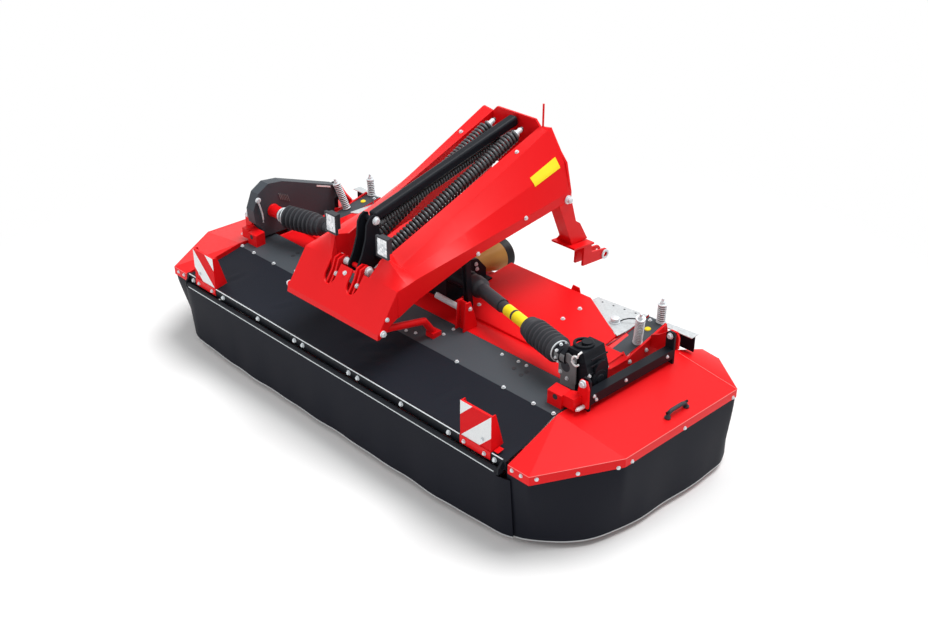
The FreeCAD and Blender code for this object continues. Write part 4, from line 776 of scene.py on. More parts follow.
# %% A small shape kit
class Shape:
    """Gathers closed forms in one mesh. A point is (across, place, height) in millimetres,
    mirrored where side is -1, or a vector in metres that is taken as it is."""

    def __init__(self, side=1):
        self.bm = bmesh.new()
        self.side = side

    def at(self, point):
        if isinstance(point, Vector):
            return point
        across, place, height = point
        return spot(self.side * across, place, height)

    def turned(self, start, end, profile, sides=24, hollow=False):
        """A form turned about the line from start towards end. Profile: (distance, radius)
        in millimetres. A hollow one closes its profile on itself and keeps its bore open."""
        start = self.at(start)
        along = (self.at(end) - start).normalized()
        turn = along.to_track_quat("Z", "X").to_matrix()
        add_skin(self.bm, [add_ring(self.bm, start + along * distance * MM, turn, radius * MM,
                                    sides) for distance, radius in profile], hollow)
        return self

    def rod(self, start, end, radius, sides=16):
        length = (self.at(end) - self.at(start)).length / MM
        return self.turned(start, end, ((0, radius), (length, radius)), sides)

    def wire(self, points, radius, sides=10):
        """A round bar through points, with closed ends."""
        points = [self.at(point) for point in points]
        rings = []
        for index, point in enumerate(points):
            along = points[min(index + 1, len(points) - 1)] - points[max(index - 1, 0)]
            turn = along.to_track_quat("Z", "X").to_matrix()
            rings.append(add_ring(self.bm, point, turn, radius * MM, sides))
        add_skin(self.bm, rings)
        return self

    def slab(self, corners, depth):
        """A flat polygon pushed along a depth in millimetres, which isn't mirrored."""
        low = [self.bm.verts.new(self.at(corner)) for corner in corners]
        high = [self.bm.verts.new(vertex.co + Vector(depth) * MM) for vertex in low]
        add_skin(self.bm, [low, high])
        return self

    def block(self, low, high):
        """An upright box between two opposite corners."""
        (left, front, foot), (right, back, top) = low, high
        return self.slab([(across, front, height) for across, height in
                          ((left, foot), (right, foot), (right, top), (left, top))],
                         (0, back - front, 0))

    def mesh(self, width=0.0):
        """The finished mesh, with its edges rounded by a width in millimetres."""
        bmesh.ops.recalc_face_normals(self.bm, faces=self.bm.faces)
        mesh = bpy.data.meshes.new("shape")
        self.bm.to_mesh(mesh)
        self.bm.free()
        return softened(mesh, width)


print("shape kit ready")

# %% [markdown]
# Three long springs carry the mower's weight, one on each side of the strut and a thin one below
# it. Each has a conical hook at both ends, a straight tail and a bright adjusting nut. Hooks and
# nuts are turned about the spring's own line.

# %% Float springs
# low eye, high eye, outer radius, wire radius, turns, hook length, tail length
FLOAT_SPRINGS = (
    ((-64, 330, 848), (-92, 1130, 1217), 35, 7.2, 43, 24.7, 60),
    ((64, 330, 848), (92, 1130, 1217), 35, 7.2, 43, 24.7, 60),
    ((0, 345, 968), (0, 1120, 1168), 19, 5.0, 50, 24.0, 105))
coils, hooks, nuts = [], Shape(), Shape()
for low, high, outer, wire, turns, hook, tail in FLOAT_SPRINGS:
    low, high = spot(*low), spot(*high)
    along = (high - low).normalized() * MM
    coils.append(wound(low, high, outer, wire, turns, spring_black))
    hooks.turned(low - along * hook, high,
                 ((0, 8), (hook - 6, 8), (hook, 19), (hook + 24, 17), (hook + 30, 0)))
    hooks.turned(high - along * 30, high + along * tail,
                 ((0, 0), (6, 17), (30, 19), (36, 9), (30 + tail, 9)))
    nuts.turned(high + along * 4, high + along * tail,
                ((0, 9), (2, 20), (14, 20), (16, 13), (tail - 18, 13), (tail - 12, 9)))
add_piece("float_spring_nuts", nuts.mesh(0.6), "frame", zinc, slot="zinc")
add_piece("float_spring_coils", joined(hooks.mesh(), *coils), "frame", spring_black,
          slot="spring_steel", instead_of=("float_springs",))
print("float springs:", len(coils))

# %% [markdown]
# On each console two short springs press a cover shut or hold a latch. A rod with a washer at
# either end runs through each, and a dark sleeve keeps the wire off the rod.

# %% Pressure springs
# across, place, seat height, spring height, lean outwards and forwards
PRESSURE_SPRINGS = ((1040, 972, 528, 158, 0.24), (1032, 1148, 561, 98, 0.04))
coils, rods, sleeves = [], Shape(), Shape()
for side, word in SIDES:
    for across, place, seat, tall, lean in PRESSURE_SPRINGS:
        foot = spot(side * across, place, seat)
        along = Vector((side * lean, -lean, 1)).normalized() * MM
        crown = foot + along * tall
        coils.append(wound(foot + along * 4, crown, 22, 3.2, tall / 11, zinc))
        rods.turned(foot, crown, (
            (0, 10), (2, 23), (6, 23), (7, 7), (tall - 5, 7), (tall - 4, 23), (tall + 1, 23),
            (tall + 2, 12), (tall + 13, 12), (tall + 14, 7), (tall + 28, 7), (tall + 30, 5)))
        sleeves.turned(foot + along * 6, crown,
                       ((0, 7), (1, 14.5), (tall - 12, 14.5), (tall - 11, 7)))
add_piece("pressure_spring_guides", sleeves.mesh(), "frame", charcoal, slot="black_paint")
add_piece("pressure_spring_coils", joined(rods.mesh(0.5), *coils), "frame", zinc,
          slot="zinc", instead_of=("upright_springs",))
print("pressure springs:", len(coils))

# %% [markdown]
# Two light springs lie across the machine, one on each side of the middle gearbox, and pull the
# mower back to the middle of its carrier. A plain rod fills each coil.

# %% Centring springs
coils, rods = [], Shape()
for side, word in SIDES:
    low, high = spot(side * 150, 560, 580), spot(side * 334.1, 545, 585)
    coils.append(wound(low, high, 15, 2.6, 30, zinc))
    rods.rod(low, high, 9, sides=24)
add_piece("centring_spring_coils", joined(rods.mesh(), *coils), "frame", zinc,
          slot="zinc", instead_of=("centring_springs",))
print("centring springs:", len(coils))

# %% [markdown]
# A curtain or a cloth is a grid of points in rows, and Solidify gives it its thickness. Two
# helpers serve them all: `evenly` walks along a polyline in even steps and rounds its corners,
# and `sheet_mesh` turns rows of points into a sheet.

# %% Sheets
def evenly(path, count, rounding):
    """A polyline sampled at even steps, its corners rounded by repeated averaging."""
    lengths = [0.0]
    for start, end in zip(path, path[1:]):
        lengths.append(lengths[-1] + math.dist(start, end))
    points = []
    segment = 0
    for index in range(count):
        target = lengths[-1] * index / (count - 1)
        while segment < len(path) - 2 and lengths[segment + 1] < target:
            segment += 1
        share = (target - lengths[segment]) / (lengths[segment + 1] - lengths[segment])
        points.append([a + (b - a) * share for a, b in zip(path[segment], path[segment + 1])])
    for _ in range(rounding):
        points[1:-1] = [[(a + 2 * b + c) / 4 for a, b, c in zip(before, here, after)]
                        for before, here, after in zip(points, points[1:], points[2:])]
    return points, lengths[-1]


def sheet_mesh(rows, thickness):
    """A sheet through rows of points, with its thickness in millimetres."""
    mesh = bpy.data.meshes.new("sheet")
    width = len(rows[0])
    faces = [(first, first + 1, first + width + 1, first + width)
             for row in range(len(rows) - 1)
             for first in range(row * width, row * width + width - 1)]
    mesh.from_pydata([point for row in rows for point in row], [], faces)
    mesh.shade_smooth()
    holder = in_scene("holder", mesh)
    solid = holder.modifiers.new("Solidify", "SOLIDIFY")
    solid.thickness = thickness * MM
    solid.offset = 0.0
    finished = baked(holder)
    finished.set_sharp_from_angle(angle=math.radians(50))
    return finished


print("sheet tools ready")

# %% [markdown]
# The side curtains hang from the covers' folded lip. At the top they follow the lip's corners.
# Lower down the rubber is free and takes the shortest smooth way round, so the hem is a soft
# curve. Each point of the sheet is a blend between those two lines, with a slow ripple that
# grows towards the hem.

# %% Side curtains
RUBBER_GAUGE = 4.0
HEM = 30.0
LIP = 392.0
COLUMNS, ROWS = 140, 18
# across and place, from the front inner end round to the rear inner end
LIP_PATH = ((1172, 4), (1294, 4), (1496, 347), (1496, 1103), (1261, 1296), (1168, 1310))
HEM_PATH = ((1172, 31), (1207, 37), (1242, 56), (1290, 92), (1352, 149), (1404, 216),
            (1430, 265), (1448, 320), (1464, 404), (1476, 515), (1482, 740), (1486, 930),
            (1478, 1075), (1425, 1185), (1330, 1262), (1240, 1290), (1172, 1300))
lip_line, lip_length = evenly(LIP_PATH, COLUMNS, 1)
hem_line, hem_length = evenly(HEM_PATH, COLUMNS, 8)


def curtain_row(side, fall):
    """One level of a side curtain. fall is 0 at the lip and 1 at the hem."""
    share = 0.25 * fall + 0.75 * fall * fall * (3 - 2 * fall)
    points = []
    for column, (high, low) in enumerate(zip(lip_line, hem_line)):
        across, place = [a + (b - a) * share for a, b in zip(high, low)]
        ripple = 3.0 * fall * math.sin(column * 0.21) * math.sin(math.pi * column / COLUMNS)
        points.append(spot(side * (across - ripple), place, LIP + (HEM - LIP) * fall))
    return points if side < 0 else points[::-1]


for side, word in SIDES:
    rows = [curtain_row(side, row / ROWS) for row in range(ROWS + 1)]
    piece = add_piece(f"side_curtain_{word}", sheet_mesh(rows, RUBBER_GAUGE), f"{word}_cover",
                      curtain_rubber, slot="rubber", instead_of=(f"curtain_{word}",))
    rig.sheet(piece, flat=(round(lip_length * MM, 3), 0.364), held="hung",
             rests_on=[f"cover_{word}_dressed"])
print("side curtains", round(lip_length), "mm round the lip,", round(hem_length), "at the hem")

# %% [markdown]
# The front curtain is one long rubber apron under the bar. It hangs almost straight, with shallow
# waves a third of a metre apart, because only its upper edge is clamped. Towards the ends its hem
# is drawn back a little, and both ends turn in to meet the side curtains.

# %% Front curtain
APRON_HALF, APRON_PLACE = 1194.0, -16
APRON_TOP, CLAMP_TOP = 336.0, 351


def apron_row(fall):
    """One level of the apron. fall is 0 at its upper edge and 1 at its hem."""
    line = []
    for column in range(161):
        across = -APRON_HALF + 2 * APRON_HALF * column / 160
        ends = max(0.0, (abs(across) - 780) / (APRON_HALF - 780))
        wave = 4.0 * fall * (1 - ends) * math.sin(across / 53.0) * math.cos(across / 190.0)
        turned_in = 16.4 * (max(0.0, abs(across) - 1114) / 80) ** 2
        line.append(spot(across, APRON_PLACE + wave + 26 * fall * ends + turned_in,
                         APRON_TOP + (HEM - APRON_TOP) * fall))
    return line


apron = sheet_mesh([apron_row(row / 14) for row in range(15)], RUBBER_GAUGE)
clamped = sheet_mesh([[spot(across, APRON_PLACE, height) for across in (-1134, -600, 0, 600, 1134)]
                      for height in (CLAMP_TOP, APRON_TOP)], RUBBER_GAUGE)
front_curtain = add_piece("front_apron", joined(apron, clamped), "flap", curtain_rubber,
                          slot="rubber", instead_of=("front_curtain",))
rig.sheet(front_curtain, flat=(2.388, 0.322), held="hung", rests_on=["flap_bar_dressed"])
print("front apron 2.388 by 0.322 m")

# %% [markdown]
# The soft top closes the space between the bar and the deck. It is stretched over four support
# arms, so it dips a little between them, and under the nose it has a few diagonal creases from
# being folded back for service. Creases are narrow waves that fade out at both ends.

# %% Soft top
CLOTH_GAUGE = 3.0
DIP, HOLD_REACH = 9.0, 280
INNER_ARM, OUTER_ARM = 290, 850
# start, end, depth, width
CREASES = (((60, 150), (230, 265), 8.0, 26), ((-60, 175), (90, 285), 7.0, 24),
           ((150, 60), (330, 130), 6.0, 26), ((-560, 80), (-470, 200), 4.0, 22),
           ((620, 100), (700, 230), 4.0, 24), ((-950, 60), (-905, 210), 2.5, 20))


def crease_lift(across, place, start, end, depth, width):
    """How far one crease lifts the cloth at a place: a ridge with a furrow beside it."""
    (ax, ay), (bx, by) = start, end
    span = math.dist(start, end)
    forward = ((across - ax) * (bx - ax) + (place - ay) * (by - ay)) / span
    aside = ((across - ax) * (by - ay) - (place - ay) * (bx - ax)) / span
    if not 0 < forward < span or abs(aside) >= 3 * width:
        return 0.0
    furrow = 0.7 * math.exp(-((aside - 1.3 * width) / width) ** 2)
    return depth * math.sin(math.pi * forward / span) * (math.exp(-(aside / width) ** 2) - furrow)


def top_point(side_share, along):
    """A point of the soft top, from -1 to 1 across and from the bar (0) to the deck (1)."""
    across = side_share * (1162 + (1134 - 1162) * along)
    place = 14 + (319 - 14) * along
    hold = min(abs(abs(across) - OUTER_ARM), abs(abs(across) - INNER_ARM)) / HOLD_REACH
    height = 408 + (474 - 408) * along - DIP * math.sin(math.pi * along) * min(1.0, hold)
    return spot(across, place, height + sum(crease_lift(across, place, *row) for row in CREASES))


top_rows = [[top_point(column / 100 - 1, row / 26) for column in range(201)] for row in range(27)]
soft_top = add_piece("soft_top", sheet_mesh(top_rows, CLOTH_GAUGE), "frame", top_cloth,
                     slot="fabric", instead_of=("fabric_top",))
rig.sheet(soft_top, flat=(2.324, 0.314), held="stretched", rests_on=["front_frame_dressed"])
print("soft top 2.324 by 0.314 m")

# %% [markdown]
# Fasteners come next. A Geometry Nodes tree puts a hexagon head on a washer at every marked
# point. The marks are the points of a mesh with two attributes: which way each bolt faces and
# how large it is. So a whole machine's bolts are a table of places and one modifier per body.

# %% A bolt-setting tree
bolt_tree, given = new_tree("bolts", ("Head Radius", "Head Height", "Washer Radius",
                                      "Washer Height"))


def bolt_node(kind, output=0, inputs=(), **settings):
    return add_node(bolt_tree, kind, output, inputs, **settings)


head = bolt_node("GeometryNodeMeshCylinder", "Mesh", {
    "Vertices": 6, "Radius": given["Head Radius"], "Depth": given["Head Height"]})
washer = bolt_node("GeometryNodeMeshCylinder", "Mesh", {
    "Vertices": 18, "Radius": given["Washer Radius"], "Depth": given["Washer Height"]})
raised = bolt_node("ShaderNodeCombineXYZ", 0, {"Z": given["Head Height"]})
lifted = bolt_node("GeometryNodeTransform", 0, {"Geometry": head, "Translation": raised})
both = bolt_node("GeometryNodeJoinGeometry", 0, {0: lifted})
feed(bolt_tree, both.socket.node.inputs[0], washer)
facing = bolt_node("GeometryNodeInputNamedAttribute", "Attribute", {"Name": "facing"},
                   data_type="FLOAT_VECTOR")
size = bolt_node("GeometryNodeInputNamedAttribute", "Attribute", {"Name": "size"},
                 data_type="FLOAT")
aim = bolt_node("FunctionNodeAlignRotationToVector", 0, {"Vector": facing}, axis="Z")
scatter = bolt_node("GeometryNodeInstanceOnPoints", 0, {
    "Points": given["Geometry"], "Instance": both, "Rotation": aim, "Scale": size})
end_tree(bolt_tree, given, scatter, False)


def set_bolts(name, body, marks, head_height=0.006, washer_radius=0.012):
    """Bolts on one body at a list of marks: point, facing and size."""
    points = bpy.data.meshes.new("marks")
    points.from_pydata([point for point, way, scale in marks], [], [])
    points.attributes.new("facing", "FLOAT_VECTOR", "POINT")
    points.attributes.new("size", "FLOAT", "POINT")
    for index, (point, way, scale) in enumerate(marks):
        points.attributes["facing"].data[index].vector = way
        points.attributes["size"].data[index].value = scale
    bolts = grow(bolt_tree, points, zinc, {
        "Head Radius": 0.0085, "Head Height": head_height,
        "Washer Radius": washer_radius, "Washer Height": 0.004})
    add_piece(name, bolts, body, slot="zinc")


# %% [markdown]
# The table of bolts. Each row says which body they hold, which way they face, how large they
# are, and where. Rows that are the same on both ends of the machine are mirrored.

# %% Set the bolts
UP, FORE, OUT = (0, 0, 1), (0, -1, 0), (1, 0, 0)
DECK_UP = Vector((0, -0.09, 1)).normalized()
HOOD_UP = Vector((0, -0.12, 1)).normalized()
BOTH_SIDES, ONCE = SIDES, SIDES[:1]
# body ("side" for both covers), facing, size, places, sides
BOLTS = (
    ("frame", FORE, 1.0, [(172, -1, 394), (236, -1, 394), (533, -1, 394), (835, -1, 394),
                          (1107, -1, 394)], BOTH_SIDES),
    ("frame", FORE, 0.8, [(930, -5, 398), (1050, -5, 398), (1035, 0, 458)], BOTH_SIDES),
    ("frame", DECK_UP, 0.8, [(542, 323, 477), (838, 320, 477), (1015, 320, 477),
                             (1126, 324, 477.3)], BOTH_SIDES),
    ("frame", DECK_UP, 0.7, [(750, 503, 493.2), (799, 503, 493.2), (333, 437, 487.3),
                             (336, 496, 492.6), (174, 345, 479.2), (224, 360, 480.5),
                             (655, 495, 492.4)], BOTH_SIDES),
    ("frame", HOOD_UP, 0.9, [(670, 882, 534), (675, 994, 547.3), (275, 722, 515)], BOTH_SIDES),
    ("frame", OUT, 1.3, [(342, 69, 636)], BOTH_SIDES),
    ("frame", OUT, 0.9, [(330, 103, 690), (360, 943, 928), (348.5, 641, 838), (395, 546, 605),
                         (115, 856, 631), (115, 863, 603), (115, 780, 640)], BOTH_SIDES),
    ("frame", (0, -0.39, 0.92), 0.9, [(192, 1048, 1182)], BOTH_SIDES),
    ("frame", OUT, 0.9, [(1074, 996, 492), (1074, 880, 478), (1074, 1090, 520)], BOTH_SIDES),
    ("frame", UP, 0.8, [(986, 1127, 559), (1048, 1140, 561)], BOTH_SIDES),
    ("frame", (0, -0.82, 0.57), 0.9, [(-15, 150, 778.6)], ONCE),
    ("frame", OUT, 1.0, [(78, 143, 749), (-82, 150, 752)], ONCE),
    ("frame", FORE, 0.8, [(1011, 488, 565), (1049, 488, 546), (1012, 488, 640),
                          (1078, 488, 642)], ONCE),
    ("frame", OUT, 0.8, [(1150, 512, 520), (1150, 625, 520), (1150, 512, 592),
                         (1150, 625, 592)], ONCE),
    ("frame", FORE, 1.5, [(1195, 421, 612)], BOTH_SIDES),
    ("side", FORE, 1.3, [(1195, 1002, 612)], BOTH_SIDES),
    ("side", OUT, 0.7, [(1218, 470, 541), (1218, 484, 520), (1218, 676, 532),
                        (1218, 960, 532)], BOTH_SIDES),
    ("side", (0.86, -0.51, 0), 0.75, [(1312, 27, 391), (1399, 174, 391), (1485, 321, 391)],
     BOTH_SIDES),
    ("side", FORE, 0.75, [(1203, 0, 391), (1253, 0, 391)], BOTH_SIDES),
    ("side", OUT, 0.75, [(1500, 387, 398), (1500, 733, 398), (1500, 1077, 398)], BOTH_SIDES))
marks = {}
for body, (out, back, up), scale, places, sides in BOLTS:
    for side, word in sides:
        found = marks.setdefault(f"{word}_cover" if body == "side" else body, [])
        found += [(spot(side * across, place, height), (side * out, back, up), scale)
                  for across, place, height in places]
for body, found in marks.items():
    set_bolts(f"bolts_{body}", body, found)
print({body: len(found) for body, found in marks.items()})

# %% [markdown]
# Some pieces are too small for the frame but tell what the machine is. On the drive line they
# are the clamp rings and necks of the bellows, the yellow bands on the right shaft's guard, and
# on the left the red bearing sleeve. They are turned about one shaft line, so one table of
# start, end and radius makes most of them.

# %% Drive line trim
RING_WALL = 5


def shaft_at(side, share):
    """A point on a drive shaft's line, from the middle gearbox (0) to the shaft's end (1)."""
    return spot(side * 251.2, 705, 632).lerp(spot(side * 985.8, 515, 640), share)


# name, side, share where it starts, share where it ends, radius, finish
SHAFT_TRIM = (("shaft_band_long", 1, 0.52, 0.67, 28.2, yellow_plate),
              ("shaft_band_short", 1, 0.42, 0.50, 28.2, yellow_plate),
              ("bellows_clamp_right", 1, 0.982, 0.996, 49, zinc),
              ("bellows_clamp_left", -1, 0.982, 0.996, 49, zinc),
              ("bellows_neck_right", 1, 0.655, 0.668, 34, black_plastic),
              ("bellows_neck_left", -1, 0.655, 0.668, 34, black_plastic))
for name, side, first, last, radius, finish in SHAFT_TRIM:
    low, high = shaft_at(side, first), shaft_at(side, last)
    length, bore = (high - low).length / MM, radius - RING_WALL
    band = Shape().turned(low, high, ((0, bore), (0, radius), (length, radius), (length, bore)),
                          sides=48, hollow=True)
    add_piece(name, band.mesh(0.6), "frame", finish)
sleeve = Shape().turned((-1094, 515, 640), (-1000, 515, 640),
                        ((0, 36), (6, 36), (7, 33), (86, 33), (87, 35), (94, 35)), sides=48)
add_piece("bearing_sleeve", sleeve.mesh(1.0), "frame", red)
ring = Shape().turned((-1004, 515, 640), (-992, 515, 640),
                      ((0, 34), (0, 41), (12, 41), (12, 34)), sides=48, hollow=True)
add_piece("sleeve_clamp", ring.mesh(0.8), "frame", zinc)
print("drive line trim:", len(SHAFT_TRIM) + 2)

# %% [markdown]
# The end gearbox is an iron casting. Its top has a round oil-cap boss and its end a cover with
# ribs. A hook for the shaft guard's chain is on its front, a black disc on the plate beside it is
# painted shade for a large round opening, and a ring of small screws holds the shaft flange.

# %% Gearbox trim
FLANGE_RADIUS, FLANGE_SCREWS = 41, 8
casting = Shape()
casting.turned((1066, 566, 689), (1066, 566, 701),
               ((0, 32), (0, 46), (9, 46), (12, 43), (12, 34), (8, 32)), sides=40, hollow=True)
casting.turned((1149, 568, 560), (1168, 568, 560),
               ((0, 46), (9, 46), (12, 42), (15, 42), (15, 22), (19, 20), (19, 0)), sides=40)
for height in (525, 560, 595, 630, 662):
    casting.slab(((1149, 518, height), (1149, 622, height), (1149, 622, height + 7),
                  (1149, 518, height + 7)), (6, 0, 0))
add_piece("gearbox_bosses", casting.mesh(1.5), "frame", charcoal)
plate = Shape().slab([(across, 488, height) for across, height in (
    (998, 652), (998, 556), (1008, 548), (1076, 530), (1098, 536), (1094, 656), (1048, 668))],
    (0, 6, 0))
add_piece("gearbox_plate", plate.mesh(0.8), "frame", cast_grey)
# A thin black disc: painted shade for the plate's round opening.
opening_shade_disc = Shape().turned((1038, 488.4, 600), (1038, 487.4, 600),
                         ((0, 0), (0, 25), (1, 25), (1, 0)), sides=32)
add_piece("gearbox_plate_opening", opening_shade_disc.mesh(), "frame", black_plastic)
hook = Shape()
hook.wire([(1095 + 19 * math.cos(angle), 484, 652 + 22 * math.sin(angle))
           for angle in map(math.radians, range(60, 331, 15))], 4.5)
hook.wire([(1104, 484, 671), (1110, 484, 690), (1110, 503, 694)], 4.5)
add_piece("guard_chain_hook", hook.mesh(), "frame", white_plate)
screws = []
for index in range(FLANGE_SCREWS):
    angle = math.radians(360 / FLANGE_SCREWS * index + 12)
    back, up = math.cos(angle), math.sin(angle)
    screws.append((spot(992, 515 + FLANGE_RADIUS * back, 640 + FLANGE_RADIUS * up),
                   (0, back, up), 0.7))
set_bolts("flange_screws", "frame", screws, head_height=0.007, washer_radius=0.011)
print("gearbox trim ready")

# %% [markdown]
# Bright pins carry the moving load: the nose shaft and the rocker's top shaft end in washers
# and nuts, each lower fork has a bush round its bore, and each cover is locked by a pair of pins
# at its front upright. They are zinc, turned, with a small chamfer.

# %% Pins, nuts and bushes
pins = Shape()
pins.turned((-82, 212, 798), (-36, 212, 798),
            ((0, 18), (4, 18), (5, 15), (40, 15), (41, 20), (46, 20)))
pins.turned((78, 212, 798), (96, 212, 798),
            ((0, 0), (0, 24), (4, 24), (5, 17), (15, 17), (18, 12), (18, 0)))
pins.turned((-118, 212, 798), (-134, 212, 798),
            ((0, 0), (0, 24), (4, 24), (5, 17), (16, 17), (16, 0)))
for side, word in SIDES:
    pins.side = side
    pins.turned((36, 300, 1008), (52, 300, 1008),
                ((0, 20), (4, 20), (5, 14), (14, 14), (16, 11), (16, 0)))
    pins.turned((372, 1223, 943), (396, 1223, 943),
                ((-4, 0), (-4, 22), (4, 22), (5, 15), (20, 15), (24, 10), (24, 0)))
    pins.turned((412, 1479, 583), (418, 1479, 583),
                ((0, 14.6), (0, 26), (5, 26), (6, 24), (6, 14.6)), hollow=True)
    pins.turned((1204, 424, 506), (1204, 375, 506),
                ((0, 0), (0, 9), (40, 9), (44, 6), (49, 6), (49, 0)))
    pins.turned((1182, 424, 502), (1182, 385, 502),
                ((0, 0), (0, 9), (32, 9), (36, 6), (39, 6), (39, 0)))
add_piece("pins_and_nuts", pins.mesh(0.6), "frame", zinc, slot="zinc")
print("pins ready")

# %% [markdown]
# Thin bright lines run along the front. The upper one stands as the strip that clamps the cloth
# to the bar, the lower one as the edge strip of the swinging flap. Their pale zinc is partly a
# painted highlight for the light that the edges of the bar and the flap catch. Each striped board
# stands on a red foot.

# %% Clamp strips with painted edge highlights, and board feet
# Pale zinc wires, partly painted highlights along the edges of the bar and the flap.
clamp_highlight_strip = Shape()
for start, end in ((-1150, 898), (1088, 1150)):
    clamp_highlight_strip.wire([(start, 2, 415), (end, 2, 415)], 2.6, sides=8)
add_piece("cloth_clamp_strip", clamp_highlight_strip.mesh(), "frame", zinc, slot="zinc")
flap_highlight_strip = Shape().wire([(-1124, -25, 358), (1124, -25, 358)], 2.8, sides=8)
add_piece("flap_edge_strip", flap_highlight_strip.mesh(), "flap", zinc, slot="zinc")
feet = Shape()
for side, word in SIDES:
    feet.side = side
    feet.block((903, -4, 380), (1083, -0.2, 420))
    feet.slab(((1086, 12, 418), (1112, 12, 418), (1112, 46, 424), (1086, 46, 424)), (0, 0, 4))
add_piece("board_feet", feet.mesh(0.8), "frame", red, slot="red_paint")
print("strips and board feet ready")

# %% [markdown]
# Two narrow seams beside each console are closed by folded strips of red sheet: one joins the
# hood's edge to the console's inner wall, the other the hood's end to the side frame. Each is a
# ruled sheet between two edges, tucked just under the surfaces that it joins. A small tab also
# stands up from the hood's rear edge on each side.

# %% Seam strips
SEAM_GAUGE, SEAM_STEPS = 2.0, 6
# both ends of the upper edge, both ends of the lower edge
SEAMS = ((((936, 846, 527.2), (936, 990, 543.5)), ((978, 846, 502.3), (978, 990, 529.6))),
         (((1050, 742, 514.5), (1050, 862, 529.0)), ((1077, 742, 496.0), (1077, 862, 499.0))))


def ruled(side, upper, lower):
    """Rows of points between two straight edges."""
    rows = []
    for step in range(SEAM_STEPS + 1):
        front, rear = (spot(side * a[0], *a[1:]).lerp(spot(side * b[0], *b[1:]), step / SEAM_STEPS)
                       for a, b in zip(upper, lower))
        rows.append([front.lerp(rear, part / SEAM_STEPS) for part in range(SEAM_STEPS + 1)])
    return rows


seams = [sheet_mesh(ruled(side, *edges), SEAM_GAUGE) for side, word in SIDES for edges in SEAMS]
tabs = Shape()
for side, word in SIDES:
    tabs.side = side
    tabs.slab([(across, 1116, height) for across, height in
               ((509, 546), (568, 546), (560, 572), (520, 574))], (0, 6, 0))
add_piece("seam_strips", joined(*seams, tabs.mesh(0.8)), "frame", red, slot="red_paint")
print("seam strips:", len(seams))

# %% [markdown]
# Two lamps stand on the nose. Each lens is a square of clear plastic with a black frame, set a
# little proud of the housing.

# %% Lamp lenses
# left, right, bottom and top of the bars round a lens, from the lamp's middle
BEZEL = ((-40, 40, 906, 914), (-40, 40, 998, 1006), (-40, -34, 914, 998), (34, 40, 914, 998))
for side, word in SIDES:
    middle = side * 182 + 5
    glass = Shape().block((middle - 34, 207, 914), (middle + 34, 212, 998))
    bezel = Shape()
    for left, right, bottom, top in BEZEL:
        bezel.block((middle + left, 204, bottom), (middle + right, 218, top))
    add_piece(f"lamp_glass_{word}", glass.mesh(1.2), "frame", lens)
    add_piece(f"lamp_bezel_{word}", bezel.mesh(0.8), "frame", black_plastic)
print("lenses ready")

# %% [markdown]
# The grab handle on each cover is a thick black grip between two feet. A cover is also folded
# along its rim and across its rear, and a thin pale red bead along each fold is a painted
# highlight for the light that the rounded fold catches.

# %% Grips and painted fold highlights on the covers
GRIP_LINE = ((1441, 686, 442), (1440, 689, 454), (1440, 698, 464), (1440, 714, 468),
             (1440, 786, 468), (1440, 802, 464), (1440, 811, 454), (1441, 814, 442))
REAR_FOLD = ((1181, 1100, 479.6), (1497, 1102, 431.0))
RIM_FOLD = ((1179, -0.2, 405.3), (1296.2, -0.2, 405.3), (1500.3, 346, 430.3),
            (1500.3, 1104, 430.3), (1262.3, 1300.3, 405.3))
# A pale red bead along the rim and rear folds is a painted highlight.
crease_red = paint("crease_red", (0.86, 0.20, 0.19), 0.4)
for side, word in SIDES:
    grip = Shape(side).wire(GRIP_LINE, 9.0, sides=14)
    for place in (687, 813):
        grip.rod((1441, place, 440), (1441, place, 447), 14)
    add_piece(f"grip_{word}", grip.mesh(), f"{word}_cover", black_plastic)
    # The painted highlight beads follow the folds.
    fold = Shape(side).wire(REAR_FOLD, 1.5, sides=6).wire(RIM_FOLD, 1.3, sides=6)
    add_piece(f"cover_fold_highlight_{word}", fold.mesh(), f"{word}_cover", crease_red)
print("grips and folds ready")

# %% [markdown]
# Blank yellow plates lie on both arms and a yellow cap closes each console. An arm is bent, so
# a flat plate would cut into it. `laid_plate` therefore drops a grid of points onto the CAD
# surface and lifts them by about a millimetre.

# %% Plates and caps
PLATE_COLUMNS, PLATE_LINES = 14, 6
PLATE_GAUGE, LIFT, DROP_FROM = 0.8, 0.0012, 0.2


def laid_plate(name, node, corners, way, finish):
    """A thin plate laid on a CAD piece. Its corners are dropped along a direction."""
    mesh = frame["nodes"][node].data
    target = BVHTree.FromPolygons([vertex.co for vertex in mesh.vertices],
                                  [tuple(face.vertices) for face in mesh.polygons])
    rows = []
    for line in range(PLATE_LINES + 1):
        row = []
        for column in range(PLATE_COLUMNS + 1):
            low = corners[0].lerp(corners[1], column / PLATE_COLUMNS)
            high = corners[3].lerp(corners[2], column / PLATE_COLUMNS)
            point = low.lerp(high, line / PLATE_LINES)
            hit = target.ray_cast(point - way * DROP_FROM, way)[0]
            row.append((hit or point) - way * LIFT)
        rows.append(row)
    add_piece(name, sheet_mesh(rows, PLATE_GAUGE), BODY_OF[node], finish)


caps = Shape()
for side, word in SIDES:
    corners = [spot(side * across, place, height) for across, place, height in
               ((323, 1039, 1047), (331, 1202, 1100), (300, 1198, 1148), (295, 1032, 1086))]
    inward = Vector((-side * 0.86, 0.2, -0.47)).normalized()
    laid_plate(f"arm_plate_{word}", f"arm_{word}", corners, inward, yellow_plate)
    caps.side = side
    caps.turned((1018, 1072, 546), (1018, 1071, 553), ((0, 15), (4, 15), (7, 12), (7, 0)))
add_piece("console_caps", caps.mesh(), "frame", yellow_plate)
print("plates ready")

# %% [markdown]
# The belt housing is a plain box, so its few fittings matter: a spring latch with a round
# pivot, a row of slanted cooling louvres, and a white strip towards its rear.

